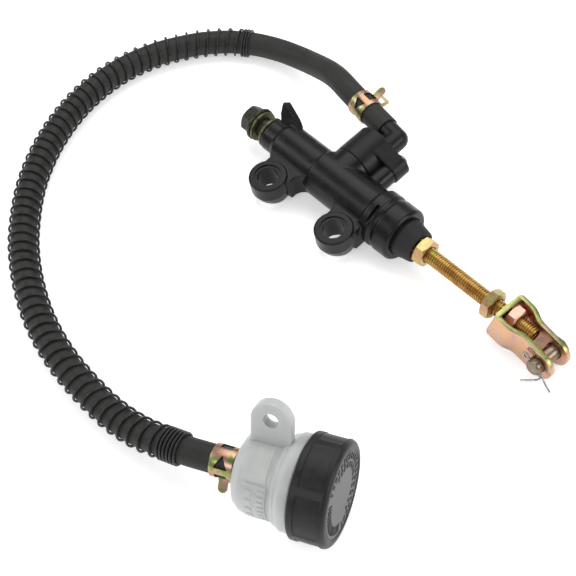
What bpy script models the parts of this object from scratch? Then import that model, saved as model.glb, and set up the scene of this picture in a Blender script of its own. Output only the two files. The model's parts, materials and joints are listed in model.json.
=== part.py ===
"""Rear brake master cylinder of a motorcycle, with its remote reservoir and hose.

The row frame is in metres with +Z up. The assembly lies on the plane Z = 0. +X runs along the
bore, from the banjo bolt to the clevis. +Y is the side of the fluid inlet, and the mounting lugs
are on the -Y side. The origin is below the middle of the assembly without its hose.

Lengths along the bore are measured from the nose, the machined face that the banjo bolt seals.
"""
import math

import bmesh
import bpy
from mathutils import Matrix, Vector

MM = 0.001
GAP = 0.3 * MM              # clearance between pieces that touch on the real assembly

# Where the bore's nose lies, and how the casting leans over onto its lugs
NOSE_AT = Vector((-86.5 * MM, 55.9 * MM, 14.2 * MM))
LEAN = math.radians(11.2)

# Casting
BORE_RADIUS = 6.4 * MM
BORE_START = 18.5 * MM
MOUTH_START = 84.0 * MM
BODY_END = 95.0 * MM
BARREL_RADIUS = 11.3 * MM
LUG_STATIONS = (22.8 * MM, 69.8 * MM)
LUG_OFFSET = 22.8 * MM
LUG_RADIUS = 9.7 * MM
LUG_HALF = 8.0 * MM
LUG_HOLE_RADIUS = 5.25 * MM
LUG_COUNTERBORE_RADIUS = 6.9 * MM
LUG_COUNTERBORE_DEPTH = 0.6 * MM
LUG_FLARE = 6.0 * MM                    # fillet radius between each lug and the barrel
INLET_STATION = 47.0 * MM
SCREW_STATION = 62.5 * MM
COMPENSATING_PORT = (42.3 * MM, 0.7 * MM)
FEED_PORT = (52.0 * MM, 1.1 * MM)

# Banjo bolt
BOLT_THREAD_RADIUS = 4.85 * MM
BOLT_ACROSS_FLATS = 12.0 * MM
BOLT_HEX = (-17.4 * MM, -10.2 * MM)
BOLT_TURN = math.radians(8)
WASHER_RADII = (5.2 * MM, 7.6 * MM)
OUTER_WASHER = (-8.3 * MM, -6.8 * MM)
INNER_WASHER = (-1.8 * MM, -0.3 * MM)

# Inlet elbow
DOME_RADIUS = 12.0 * MM
DOME_BASE = 12.5 * MM
DOME_TOP = 31.0 * MM
DOME_WALL = 1.55 * MM
ELBOW_EAR = (22.0 * MM, 30.0 * MM)       # from the bore, on the inlet side
ELBOW_EAR_RADIUS = 6.2 * MM
ELBOW_EAR_SLOPE = 68                    # degrees, where its sides leave its round end
ELBOW_BEND = Vector((51.2 * MM, 39.0 * MM, 0.0))
ELBOW_TURN = math.radians(171)          # direction of the outlet in the X-Y plane of the casting
ELBOW_PIPE_RADIUS = 5.6 * MM
ELBOW_SHOULDER = 8.3 * MM               # from the bend to the face that stops the hose
UPPER_BARB_LENGTH = 18.0 * MM
UPPER_GRIP = 27.0 * MM                  # straight stretch of hose over the elbow's barb

# Piston group
CUP_START = 44.0 * MM
PISTON_START = 48.3 * MM
PISTON_END = 80.0 * MM
BALL_STATION = 77.5 * MM
BALL_RADIUS = 4.0 * MM
LAND_RADIUS = 6.1 * MM

# Push rod and nuts, M8
ROD_RADIUS = 3.9 * MM
ROD_NECK_RADIUS = 3.4 * MM
ROD_END = 176.5 * MM
NUT_ACROSS_FLATS = 13.0 * MM
BOOT_NUT = (105.5 * MM, 111.0 * MM)
LOCK_NUT = (148.2 * MM, 153.4 * MM)
CLEVIS_NUT = (161.8 * MM, 167.0 * MM)

# Clevis, bent from one strip
CLEVIS_STATION = 157.0 * MM
CLEVIS_DROOP = math.radians(13.3)
STRIP = 2.4 * MM
STRIP_HALF_WIDTH = 7.5 * MM
BOX_HALF = 9.6 * MM
EAR_HALF = 6.75 * MM
PIN_STATION = 28.5 * MM
EAR_END = 36.5 * MM
PIN_RADIUS = 3.9 * MM
COTTER_AT = -8.8 * MM
PIN_TURN = math.radians(17)             # how far the pin and its split pin are turned

# Reservoir
RESERVOIR_AT = Vector((53.6 * MM, -88.4 * MM, 19.6 * MM))
RESERVOIR_TURN = math.radians(26)
RESERVOIR_TILT = math.radians(6)
EAR_LEAN = math.radians(18)
RESERVOIR_RADIUS = 18.0 * MM
WALL = 1.8 * MM
NECK_END = 40.1 * MM
NECK_RADIUS = 20.2 * MM
NECK_BORE = 18.2 * MM
CAP_RADIUS = 22.6 * MM
CAP_BORE = 20.6 * MM
CAP_START = 28.7 * MM
CAP_END = 45.1 * MM
CAP_FLOOR = 42.9 * MM
CAP_RECESSES = 6
LOWER_BARB_LENGTH = 13.0 * MM
LOWER_GRIP = 14.0 * MM                  # stretch of hose over the bottle's barb
EAR_STATION = 14.0 * MM
EAR_HALF_WIDTH = 9.2 * MM
EAR_CENTRE = 30.6 * MM
EAR_HALF_THICKNESS = 2.5 * MM
EAR_HOLE = 29.2 * MM
EAR_HOLE_RADIUS = 3.4 * MM

# Hose, spring guard and clamps
HOSE_RADIUS = 6.3 * MM
HOSE_BORE = 4.4 * MM
GUARD_INNER = 6.85 * MM
GUARD_OUTER = 7.8 * MM
CLAMP_INNER = 6.7 * MM
CLAMP_OUTER = 7.5 * MM
CLAMP_WIDTH = 10.5 * MM
TUBE_SPACING = 12.5 * MM
GUARD_FROM = 86.0 * MM                  # along the tube, from its start
GUARD_TO = 452.0 * MM
TUBE_ROUTE = [
    (-0.0710, 0.0997, 0.0229),
    (-0.0773, 0.1008, 0.0231),
    (-0.0838, 0.1024, 0.0228),
    (-0.0900, 0.1039, 0.0218),
    (-0.0960, 0.1052, 0.0201),
    (-0.1020, 0.1064, 0.0179),
    (-0.1080, 0.1074, 0.0157),
    (-0.1140, 0.1081, 0.0136),
    (-0.1205, 0.1083, 0.0118),
    (-0.1275, 0.1078, 0.0104),
    (-0.1343, 0.1065, 0.0095),
    (-0.1414, 0.1042, 0.0088),
    (-0.1482, 0.1010, 0.0084),
    (-0.1544, 0.0970, 0.0081),
    (-0.1604, 0.0921, 0.0080),
    (-0.1672, 0.0839, 0.0080),
    (-0.1732, 0.0740, 0.0080),
    (-0.1801, 0.0570, 0.0080),
    (-0.1834, 0.0384, 0.0080),
    (-0.1827, 0.0204, 0.0080),
    (-0.1782, 0.0007, 0.0080),
    (-0.1692, -0.0203, 0.0080),
    (-0.1572, -0.0396, 0.0080),
    (-0.1425, -0.0571, 0.0080),
    (-0.1240, -0.0735, 0.0080),
    (-0.1092, -0.0839, 0.0080),
    (-0.0926, -0.0929, 0.0080),
    (-0.0752, -0.1001, 0.0080),
    (-0.0577, -0.1049, 0.0080),
    (-0.0405, -0.1075, 0.0080),
    (-0.0236, -0.1083, 0.0081),
    (-0.0105, -0.1081, 0.0085),
    (0.0014, -0.1071, 0.0102),
    (0.0127, -0.1052, 0.0129),
    (0.0237, -0.1018, 0.0157),
    (0.0318, -0.0988, 0.0169),
    (0.0397, -0.0952, 0.0179),
]


# ---------------------------------------------------------------- shapes

def circle(radius, sides=32, centre=(0.0, 0.0), start=0.0):
    """Outline points of a circle, anticlockwise."""
    steps = [start + 2 * math.pi * step / sides for step in range(sides)]
    return [(centre[0] + radius * math.cos(a), centre[1] + radius * math.sin(a)) for a in steps]


def arc(centre, radius, first, last, steps=8):
    """Outline points on an arc, with the angles in degrees."""
    angles = [math.radians(first + (last - first) * step / steps) for step in range(steps + 1)]
    return [(centre[0] + radius * math.cos(a), centre[1] + radius * math.sin(a)) for a in angles]


def from_bmesh(name, shape, smooth_angle=35):
    """Object made from a bmesh, with outward faces and smooth shading."""
    bmesh.ops.recalc_face_normals(shape, faces=shape.faces)
    mesh = bpy.data.meshes.new(name)
    shape.to_mesh(mesh)
    shape.free()
    mesh.shade_smooth()
    mesh.set_sharp_from_angle(angle=math.radians(smooth_angle))
    piece = bpy.data.objects.new(name, mesh)
    bpy.context.scene.collection.objects.link(piece)
    return piece


def bridge_rows(shape, rows, closed):
    """Skin consecutive rows of vertices; a row of one vertex is a pole."""
    pairs = list(zip(rows, rows[1:]))
    if closed:
        pairs.append((rows[-1], rows[0]))
    for first, second in pairs:
        sides = max(len(first), len(second))
        for index in range(sides):
            after = (index + 1) % sides
            corners = [first[index % len(first)], first[after % len(first)],
                       second[after % len(second)], second[index % len(second)]]
            shape.faces.new(dict.fromkeys(corners))


def turned(name, profile, sides=32, ring=False):
    """Solid turned about local X from (station, radius) points; a ring's profile closes."""
    shape = bmesh.new()
    rows = []
    for station, radius in profile:
        if radius == 0:
            rows.append([shape.verts.new((station, 0, 0))])
        else:
            rows.append([shape.verts.new((station, y, z)) for y, z in circle(radius, sides)])
    bridge_rows(shape, rows, ring)
    for row in (rows[0], rows[-1]):
        if not ring and len(row) > 1:
            shape.faces.new(row)
    return from_bmesh(name, shape)


def prism(name, outline, low, high):
    """Outline in local X and Y, extruded along local Z from low to high."""
    shape = bmesh.new()
    bottom = shape.faces.new([shape.verts.new((x, y, low)) for x, y in outline])
    grown = bmesh.ops.extrude_face_region(shape, geom=[bottom])["geom"]
    moved = [item for item in grown if isinstance(item, bmesh.types.BMVert)]
    bmesh.ops.translate(shape, verts=moved, vec=(0, 0, high - low))
    return from_bmesh(name, shape)


def hex_prism(name, across_flats, start, end, turn=0.0):
    """Hexagonal bar along local X, with its corners chamfered at both ends."""
    corner = across_flats / math.sqrt(3)
    bar = prism(name, circle(corner, 6, start=turn), start, end)
    bar.data.transform(Matrix.Rotation(math.radians(90), 4, "Y"))
    bar.data.transform(Matrix.Diagonal((1, 1, -1, 1)))
    bar.data.flip_normals()
    flat = 0.96 * across_flats / 2
    slope = (corner - flat) * math.tan(math.radians(30))
    cone = turned(name + "_chamfer", [(start, flat), (start + slope, corner + 0.05 * MM),
                                      (end - slope, corner + 0.05 * MM), (end, flat)], 18)
    combine(bar, cone, "INTERSECT")
    return bar


def swept_ring(name, points, inner, outer, sides=10):
    """Hollow sleeve along a nearly level row of points."""
    shape = bmesh.new()
    loops = {inner: [], outer: []}
    for index, point in enumerate(points):
        before = points[max(index - 1, 0)]
        after = points[min(index + 1, len(points) - 1)]
        along = (after - before).normalized()
        side = along.cross(Vector((0, 0, 1))).normalized()
        up = side.cross(along)
        for radius, loop in loops.items():
            row = [point + side * x + up * y for x, y in circle(radius, sides)]
            loop.append([shape.verts.new(corner) for corner in row])
    bridge_rows(shape, loops[outer] + loops[inner][::-1], True)
    return from_bmesh(name, shape)


def wire(name, points, radius, sides_resolution=2):
    """Round bar or hose through points, with closed ends."""
    data = bpy.data.curves.new(name, "CURVE")
    data.dimensions = "3D"
    data.bevel_depth = radius
    data.bevel_resolution = sides_resolution
    data.use_fill_caps = True
    spline = data.splines.new("POLY")
    spline.points.add(len(points) - 1)
    for slot, point in zip(spline.points, points):
        slot.co = (*point, 1)
    piece = bpy.data.objects.new(name, data)
    bpy.context.scene.collection.objects.link(piece)
    return piece


def combine(piece, tool, operation):
    """Add or cut one shape; the tool stays as a hidden guide."""
    modifier = piece.modifiers.new(tool.name, "BOOLEAN")
    modifier.operation = operation
    modifier.object = tool
    tool.parent = piece
    tool.hide_render = True
    tool.display_type = "WIRE"


def smooth_route(route, spacing):
    """Evenly spaced points on a Catmull-Rom curve through the route's points."""
    corners = [Vector(point) for point in route]
    ends = [2 * corners[0] - corners[1]] + corners + [2 * corners[-1] - corners[-2]]
    fine = []
    for a, b, c, d in zip(ends, ends[1:], ends[2:], ends[3:]):
        for step in range(20):
            t = step / 20
            fine.append(0.5 * (2 * b + (c - a) * t + (2 * a - 5 * b + 4 * c - d) * t ** 2
                               + (3 * b - a - 3 * c + d) * t ** 3))
    fine.append(corners[-1])
    reach = [0.0]
    for before, after in zip(fine, fine[1:]):
        reach.append(reach[-1] + (after - before).length)
    count = round(reach[-1] / spacing)
    points = []
    index = 0
    for step in range(count + 1):
        wanted = reach[-1] * step / count
        while index < len(fine) - 2 and reach[index + 1] < wanted:
            index += 1
        share = (wanted - reach[index]) / (reach[index + 1] - reach[index])
        points.append(fine[index].lerp(fine[index + 1], share))
    return points


# ---------------------------------------------------------------- placing

def clear_scene():
    for piece in list(bpy.data.objects):
        bpy.data.objects.remove(piece, do_unlink=True)


def frame(name, location, rotation):
    """Empty that places a group of pieces."""
    empty = bpy.data.objects.new(name, None)
    empty.location = location
    empty.rotation_euler = rotation
    bpy.context.scene.collection.objects.link(empty)
    return empty


def material(name, colour, roughness, metallic=0.0):
    made = bpy.data.materials.new(name)
    made.use_nodes = True
    shader = made.node_tree.nodes["Principled BSDF"]
    shader.inputs["Base Color"].default_value = (*colour, 1)
    shader.inputs["Roughness"].default_value = roughness
    shader.inputs["Metallic"].default_value = metallic
    return made


def place(piece, parent, finish, location=(0, 0, 0), rotation=(0, 0, 0)):
    piece.parent = parent
    piece.location = location
    piece.rotation_euler = rotation
    piece.data.materials.append(finish)
    return piece


ALONG_Y = (0, 0, math.radians(90))      # turns a piece made along X onto +Y


# ---------------------------------------------------------------- casting

def barrel():
    """Outside of the casting about the bore, with its stepped big end."""
    steps = [(37.5, 12.2), (75.0, 12.2), (76.5, 14.0), (84.0, 14.1), (84.8, 13.2),
             (87.0, 13.2), (87.8, 13.7), (93.8, 13.7)]
    profile = [(0, 0), (0, 7.9 * MM), (0.6 * MM, 8.5 * MM), (7.5 * MM, 8.5 * MM),
               (10.5 * MM, BARREL_RADIUS), (36.5 * MM, BARREL_RADIUS)]
    profile += [(x * MM, r * MM) for x, r in steps] + [(BODY_END, 12.9 * MM), (BODY_END, 0)]
    return turned("cylinder_body", profile, 32)


def lug_outline(station, side):
    """Boss around a lug hole and its neck, which flares into the barrel on one side."""
    half = LUG_RADIUS
    flare_end = station + half + LUG_FLARE
    flare_from = -10.0 * MM - LUG_FLARE
    root = -3.0 * MM
    points = arc((station, -LUG_OFFSET), half, 180, 360, 14)
    points += [(station + half, flare_from - MM)]
    points += arc((flare_end, flare_from), LUG_FLARE, 180, 90, 6)
    points += [(flare_end, root), (station - half, root)]
    return points if side > 0 else [(2 * station - x, y) for x, y in reversed(points)]


def banjo_stop():
    """Horn beside the nose that keeps the hose fitting from turning."""
    outline = [(3.4, 6.0), (3.0, 10.0), (1.3, 13.0), (0.1, 17.0), (0.0, 18.6), (0.9, 19.0),
               (2.6, 18.4), (6.6, 16.6), (10.6, 14.9), (13.8, 12.8), (15.8, 10.2), (16.3, 6.0)]
    fin = prism("banjo_stop", [(x * MM, y * MM) for x, y in outline], -2.4 * MM, 2.4 * MM)
    fin.data.transform(Matrix.Rotation(math.radians(48), 4, "X"))
    return fin


def upright(name, profile, sides, station):
    """Turned shape that stands on the casting's +Y side at a station along the bore."""
    shape = turned(name, profile, sides)
    shape.data.transform(Matrix.Rotation(math.radians(90), 4, "Z"))
    shape.data.transform(Matrix.Translation((station, 0, 0)))
    return shape


def make_casting(parent, finish):
    body = place(barrel(), parent, finish)
    combine(body, banjo_stop(), "UNION")
    for number, station in enumerate(LUG_STATIONS):
        side = 1 if number == 0 else -1
        lug = prism(f"lug_{number}", lug_outline(station, side), -LUG_HALF, LUG_HALF)
        combine(body, lug, "UNION")
    screw_boss = [(4 * MM, 5.3 * MM), (21.7 * MM, 5.3 * MM)]
    combine(body, upright("screw_boss", screw_boss, 18, SCREW_STATION), "UNION")
    room = [(DOME_BASE - 0.35 * MM, DOME_RADIUS + GAP), (25 * MM, DOME_RADIUS + GAP)]
    combine(body, upright("dome_clearance", room, 28, INLET_STATION), "DIFFERENCE")
    top = DOME_BASE - GAP
    boss = [(4 * MM, 11.9 * MM), (top, 11.9 * MM), (top, 8.3 * MM), (19 * MM, 8.3 * MM)]
    combine(body, upright("inlet_boss", boss, 28, INLET_STATION), "UNION")
    for name, profile, sides, station in (
            ("inlet_well", [(9.4 * MM, 6.3 * MM), (22 * MM, 6.3 * MM)], 18, INLET_STATION),
            ("screw_hole", [(11 * MM, 2.2 * MM), (24 * MM, 2.2 * MM)], 12, SCREW_STATION),
            ("compensating_port", [(3 * MM, COMPENSATING_PORT[1]), (12 * MM, COMPENSATING_PORT[1])],
             8, COMPENSATING_PORT[0]),
            ("feed_port", [(3 * MM, FEED_PORT[1]), (12 * MM, FEED_PORT[1])], 8, FEED_PORT[0])):
        combine(body, upright(name, profile, sides, station), "DIFFERENCE")
    for number, station in enumerate(LUG_STATIONS):
        hole = prism(f"lug_hole_{number}", circle(LUG_HOLE_RADIUS, 24, (station, -LUG_OFFSET)),
                     -2 * LUG_HALF, 2 * LUG_HALF)
        combine(body, hole, "DIFFERENCE")
        sink = prism(f"lug_counterbore_{number}",
                     circle(LUG_COUNTERBORE_RADIUS, 24, (station, -LUG_OFFSET)),
                     LUG_HALF - LUG_COUNTERBORE_DEPTH, 2 * LUG_HALF)
        combine(body, sink, "DIFFERENCE")
    mouth = [(86.9, 9.0), (86.9, 10.0), (88.6, 10.0), (88.6, 9.0), (89.0, 9.0),
             (89.0, 10.5), (97.0, 10.5)]
    inside = [(-2.0 * MM, 5.15 * MM), (13.0 * MM, 5.15 * MM), (14.5 * MM, 2.2 * MM),
              (BORE_START, 2.2 * MM), (BORE_START, BORE_RADIUS), (MOUTH_START, BORE_RADIUS),
              (MOUTH_START, 9.0 * MM)] + [(x * MM, r * MM) for x, r in mouth]
    combine(body, turned("bore", inside, 24), "DIFFERENCE")
    slot = prism("drain_slot", [(79.6 * MM, -8 * MM), (81.4 * MM, -8 * MM),
                                (81.4 * MM, 3.5 * MM), (79.6 * MM, 3.5 * MM)], 12 * MM, 22 * MM)
    slot.data.transform(Matrix.Rotation(math.radians(20), 4, "X"))
    combine(body, slot, "DIFFERENCE")
    return body


# ---------------------------------------------------------------- outlet

def make_banjo_bolt(parent, finish):
    bolt = hex_prism("banjo_bolt", BOLT_ACROSS_FLATS, *BOLT_HEX, BOLT_TURN)
    flange = [(-11.2, 0), (-11.2, 7.0), (-10.4, 8.1), (-8.6, 8.1)]
    profile = [(x * MM, r * MM) for x, r in flange]
    profile += [(-8.6 * MM, BOLT_THREAD_RADIUS), (11.2 * MM, BOLT_THREAD_RADIUS),
                (12.0 * MM, BOLT_THREAD_RADIUS - 0.75 * MM), (12.0 * MM, 0)]
    shank = turned("bolt_shank", profile, 26)
    combine(bolt, shank, "UNION")
    drilling = turned("bolt_drilling", [(-6.0 * MM, 1.6 * MM), (14 * MM, 1.6 * MM)], 12)
    combine(bolt, drilling, "DIFFERENCE")
    cross = turned("bolt_cross_drilling", [(-7 * MM, 1.2 * MM), (7 * MM, 1.2 * MM)], 12)
    cross.data.transform(Matrix.Rotation(math.radians(90), 4, "Y"))
    cross.data.transform(Matrix.Translation((-4.6 * MM, 0, 0)))
    combine(bolt, cross, "DIFFERENCE")
    return place(bolt, parent, finish)


def make_ring(name, stations, radii, parent, finish, sides=24):
    """Flat washer or other plain ring about the bore."""
    start, end = stations
    inner, outer = radii
    profile = [(start, inner), (start, outer), (end, outer), (end, inner)]
    return place(turned(name, profile, sides, ring=True), parent, finish)


# ---------------------------------------------------------------- inlet

def outlet_placement():
    """Matrix that lays a piece made along +X onto the elbow's outlet, in the casting's frame."""
    return Matrix.Translation(ELBOW_BEND) @ Matrix.Rotation(ELBOW_TURN, 4, "Z")


def barb_profile(start, length, root=3.6 * MM, crest=4.0 * MM):
    """Outside of a hose barb that runs from a shoulder to its tip, with sloped ribs."""
    ribs = max(2, round(length / (8 * MM)))
    pitch = length / ribs
    points = []
    for rib in range(ribs):
        near = start + rib * pitch
        points += [(near, root), (near + 0.62 * pitch, root), (near + 0.62 * pitch, crest)]
    return points + [(start + length, 3.2 * MM)]


def make_elbow(parent, finish):
    dome = upright("inlet_elbow", [(DOME_BASE, DOME_RADIUS), (DOME_TOP - 1.6 * MM, DOME_RADIUS),
                                   (DOME_TOP - 0.5 * MM, DOME_RADIUS - 0.5 * MM),
                                   (DOME_TOP, DOME_RADIUS - 1.8 * MM)], 28, INLET_STATION)
    elbow = place(dome, parent, finish)
    root = (INLET_STATION + 4.2 * MM, DOME_RADIUS - MM)
    ear = prism("elbow_ear", [(root[0], -root[1])]
                + arc((SCREW_STATION, 0), ELBOW_EAR_RADIUS, -ELBOW_EAR_SLOPE,
                      ELBOW_EAR_SLOPE, 8) + [root],
                -ELBOW_EAR[1], -ELBOW_EAR[0])
    ear.data.transform(Matrix.Rotation(math.radians(90), 4, "X"))
    combine(elbow, ear, "UNION")
    stem = upright("elbow_stem", [(26 * MM, ELBOW_PIPE_RADIUS), (ELBOW_BEND.y, ELBOW_PIPE_RADIUS)],
                   18, ELBOW_BEND.x)
    combine(elbow, stem, "UNION")
    corner = arc((0, 0), ELBOW_PIPE_RADIUS + 0.15 * MM, 180, 0, 8)
    corner[0] = (-ELBOW_PIPE_RADIUS - 0.15 * MM, 0)
    corner[-1] = (ELBOW_PIPE_RADIUS + 0.15 * MM, 0)
    ball = turned("elbow_corner", corner, 16)
    ball.data.transform(Matrix.Translation(ELBOW_BEND))
    combine(elbow, ball, "UNION")
    tail = [(0, ELBOW_PIPE_RADIUS), (ELBOW_SHOULDER, ELBOW_PIPE_RADIUS)]
    tail += barb_profile(ELBOW_SHOULDER, UPPER_BARB_LENGTH)
    outlet = turned("elbow_outlet", tail, 18)
    outlet.data.transform(outlet_placement())
    combine(elbow, outlet, "UNION")
    room = [(10 * MM, DOME_RADIUS - DOME_WALL), (20.5 * MM, DOME_RADIUS - DOME_WALL)]
    cavity = upright("elbow_cavity", room, 24, INLET_STATION)
    combine(elbow, cavity, "DIFFERENCE")
    riser = upright("elbow_riser", [(18 * MM, 2.4 * MM), (ELBOW_BEND.y + MM, 2.4 * MM)], 12,
                    ELBOW_BEND.x)
    combine(elbow, riser, "DIFFERENCE")
    passage = turned("elbow_passage", [(-0.5 * MM, 2.5 * MM), (60 * MM, 2.5 * MM)], 10)
    passage.data.transform(outlet_placement())
    combine(elbow, passage, "DIFFERENCE")
    hole = upright("elbow_screw_hole", [(18 * MM, 2.3 * MM), (34 * MM, 2.3 * MM)], 12,
                   SCREW_STATION)
    combine(elbow, hole, "DIFFERENCE")
    return elbow


def make_o_ring(parent, finish):
    section = [(16.5 * MM + y, 9.4 * MM + x) for x, y in circle(0.75 * MM, 6)]
    ring = turned("elbow_o_ring", section, 24, ring=True)
    return place(ring, parent, finish, (INLET_STATION, 0, 0), ALONG_Y)


def make_elbow_screw(parent, finish):
    profile = [(13.0, 0), (13.0, 1.5), (14.0, 1.9), (30.3, 1.9), (30.3, 3.2), (31.4, 3.2),
               (32.4, 2.6), (32.7, 1.5), (32.7, 0)]
    screw = turned("elbow_screw", [(x * MM, r * MM) for x, r in profile], 16)
    for number in range(2):
        recess = prism(f"cross_recess_{number}", [(-2.0 * MM, -0.45 * MM), (2.0 * MM, -0.45 * MM),
                                                  (2.0 * MM, 0.45 * MM), (-2.0 * MM, 0.45 * MM)],
                       31.5 * MM, 34 * MM)
        recess.data.transform(Matrix.Rotation(math.radians(90 * number), 4, "Z"))
        recess.data.transform(Matrix.Rotation(math.radians(90), 4, "Y"))
        combine(screw, recess, "DIFFERENCE")
    return place(screw, parent, finish, (SCREW_STATION, 0, 0), ALONG_Y)


# ---------------------------------------------------------------- piston group

def make_return_spring(parent, finish):
    """Open coil between the bore's floor and the primary cup."""
    turns = 6.5
    mean = 4.9 * MM
    bar = 0.6 * MM
    start = BORE_START + GAP + bar
    end = CUP_START - GAP - bar
    steps = round(turns * 12)
    points = []
    for step in range(steps + 1):
        share = step / steps
        angle = 2 * math.pi * turns * share
        points.append((start + (end - start) * share, mean * math.cos(angle),
                       mean * math.sin(angle)))
    return place(wire("return_spring", points, bar, 0), parent, finish)


def make_cup(name, start, parent, finish, stem=0.0):
    """Rubber cup seal with a hollow lip facing the outlet; the stem passes through it."""
    length = 4.0 * MM
    lip = [(start, 5.2 * MM), (start, LAND_RADIUS), (start + length, LAND_RADIUS - 0.3 * MM)]
    if stem:
        profile = [(start + 1.8 * MM, stem)] + lip + [(start + length, stem)]
        return place(turned(name, profile, 24, ring=True), parent, finish)
    profile = [(start + 1.8 * MM, 0), (start + 1.8 * MM, 4.2 * MM)] + lip + [(start + length, 0)]
    return place(turned(name, profile, 24), parent, finish)


def make_piston(parent, finish):
    """Spool with two lands, a groove for the second cup and a socket for the rod's ball."""
    socket = BALL_RADIUS + 0.4 * MM
    waist = [(50.8, 4.2), (65.6, 4.2), (65.6, 3.6), (70.2, 3.6)]
    points = [(PISTON_START, 0), (PISTON_START, LAND_RADIUS), (50.2 * MM, LAND_RADIUS)]
    points += [(x * MM, r * MM) for x, r in waist]
    points += [(70.2 * MM, LAND_RADIUS), (PISTON_END, LAND_RADIUS)]
    mouth = math.degrees(math.acos((PISTON_END - BALL_STATION) / socket))
    bowl = arc((BALL_STATION, 0), socket, mouth, 180, 6)
    points += bowl[:-1] + [(BALL_STATION - socket, 0)]
    return place(turned("piston", points, 24), parent, finish)


def make_pushrod(parent, finish):
    """M8 rod with a ball end in the piston and a collar behind the retaining washer."""
    ball = arc((BALL_STATION, 0), BALL_RADIUS, 180, 55, 6)
    points = [(BALL_STATION - BALL_RADIUS, 0)] + ball[1:]
    rest = [(81.6, 3.1), (82.0, 5.5), (84.9, 5.5)]
    points += [(x * MM, r * MM) for x, r in rest]
    points += [(84.9 * MM, ROD_NECK_RADIUS), (97.5 * MM, ROD_NECK_RADIUS)]
    points += [(98.2 * MM, ROD_RADIUS), (ROD_END - MM, ROD_RADIUS),
               (ROD_END, ROD_RADIUS - 0.7 * MM), (ROD_END, 0)]
    return place(turned("pushrod", points, 20), parent, finish)


def make_circlip(parent, finish):
    """Open retaining ring in the groove of the cylinder's mouth."""
    outline = arc((0, 0), 9.7 * MM, 22, 338, 18) + arc((0, 0), 6.6 * MM, 338, 22, 18)
    clip = prism("circlip", outline, 87.1 * MM, 88.3 * MM)
    clip.data.transform(Matrix.Rotation(math.radians(90), 4, "Y"))
    return place(clip, parent, finish)


def make_boot(parent, finish):
    """Rubber boot that plugs the mouth and seals on the rod."""
    profile = [(89.3, 7.0), (89.3, 10.1), (95.6, 10.1), (97.0, 9.9), (100.0, 9.2), (103.6, 8.5),
               (105.0, 8.1), (105.0, 6.6), (104.2, 4.4), (102.6, 4.4), (101.6, 6.8), (96.0, 8.3),
               (92.0, 7.6)]
    boot = turned("dust_boot", [(x * MM, r * MM) for x, r in profile], 28, ring=True)
    return place(boot, parent, finish)


def make_nut(name, stations, parent, finish, turn=0.0):
    nut = hex_prism(name, NUT_ACROSS_FLATS, stations[0], stations[1], turn)
    thread = turned(name + "_thread", [(stations[0] - MM, ROD_RADIUS + GAP),
                                       (stations[1] + MM, ROD_RADIUS + GAP)], 20)
    combine(nut, thread, "DIFFERENCE")
    return place(nut, parent, finish)


# ---------------------------------------------------------------- clevis

def strip_outline():
    """Bent strip seen along its width: a box that narrows to two parallel ears."""
    outer = [(EAR_END, EAR_HALF), (17.5 * MM, EAR_HALF), (15.5 * MM, EAR_HALF + 0.35 * MM),
             (11.0 * MM, BOX_HALF - 0.45 * MM), (9.0 * MM, BOX_HALF), (2.6 * MM, BOX_HALF)]
    outer += arc((2.6 * MM, BOX_HALF - 2.6 * MM), 2.6 * MM, 90, 180, 4)[1:]
    inner = [(EAR_END, EAR_HALF - STRIP), (17.0 * MM, EAR_HALF - STRIP),
             (14.6 * MM, EAR_HALF - STRIP + 0.45 * MM), (10.4 * MM, BOX_HALF - STRIP - 0.35 * MM),
             (8.6 * MM, BOX_HALF - STRIP), (2.6 * MM, BOX_HALF - STRIP),
             (STRIP, BOX_HALF - STRIP - 0.3 * MM)]
    half = outer + [(x, -y) for x, y in reversed(outer)]
    hollow = inner + [(x, -y) for x, y in reversed(inner)]
    return half + hollow[::-1]


def make_clevis(parent, finish):
    clevis = prism("clevis", strip_outline(), -STRIP_HALF_WIDTH, STRIP_HALF_WIDTH)
    side = [(-MM, -STRIP_HALF_WIDTH + 0.05 * MM)]
    side += arc((EAR_END - STRIP_HALF_WIDTH, 0), STRIP_HALF_WIDTH - 0.05 * MM, -90, 90, 12)
    side += [(-MM, STRIP_HALF_WIDTH - 0.05 * MM)]
    ends = prism("ear_ends", side, -20 * MM, 20 * MM)
    ends.data.transform(Matrix.Rotation(math.radians(90), 4, "X"))
    combine(clevis, ends, "INTERSECT")
    pin_hole = prism("pin_hole", circle(PIN_RADIUS + GAP, 20, (PIN_STATION, 0)), -20 * MM, 20 * MM)
    pin_hole.data.transform(Matrix.Rotation(math.radians(90), 4, "X"))
    combine(clevis, pin_hole, "DIFFERENCE")
    rod_hole = turned("rod_hole", [(-2 * MM, 4.65 * MM), (5 * MM, 4.65 * MM)], 20)
    combine(clevis, rod_hole, "DIFFERENCE")
    return place(clevis, parent, finish)


def make_clevis_pin(parent, finish):
    head = [(7.05, 6.0), (8.2, 6.0), (8.9, 5.2), (8.9, 0)]
    profile = [(-10.6 * MM, 0), (-10.6 * MM, PIN_RADIUS - 0.6 * MM), (-10.0 * MM, PIN_RADIUS),
               (7.05 * MM, PIN_RADIUS)] + [(x * MM, r * MM) for x, r in head]
    pin = turned("clevis_pin", profile, 20)
    cross = prism("cotter_hole", [(-10.1 * MM, -1.05 * MM), (-7.5 * MM, -1.05 * MM),
                                  (-7.5 * MM, 1.05 * MM), (-10.1 * MM, 1.05 * MM)],
                  -6 * MM, 6 * MM)
    cross.data.transform(Matrix.Rotation(math.radians(90) + PIN_TURN, 4, "X"))
    combine(pin, cross, "DIFFERENCE")
    return place(pin, parent, finish, (PIN_STATION, 0, 0), ALONG_Y)


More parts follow.
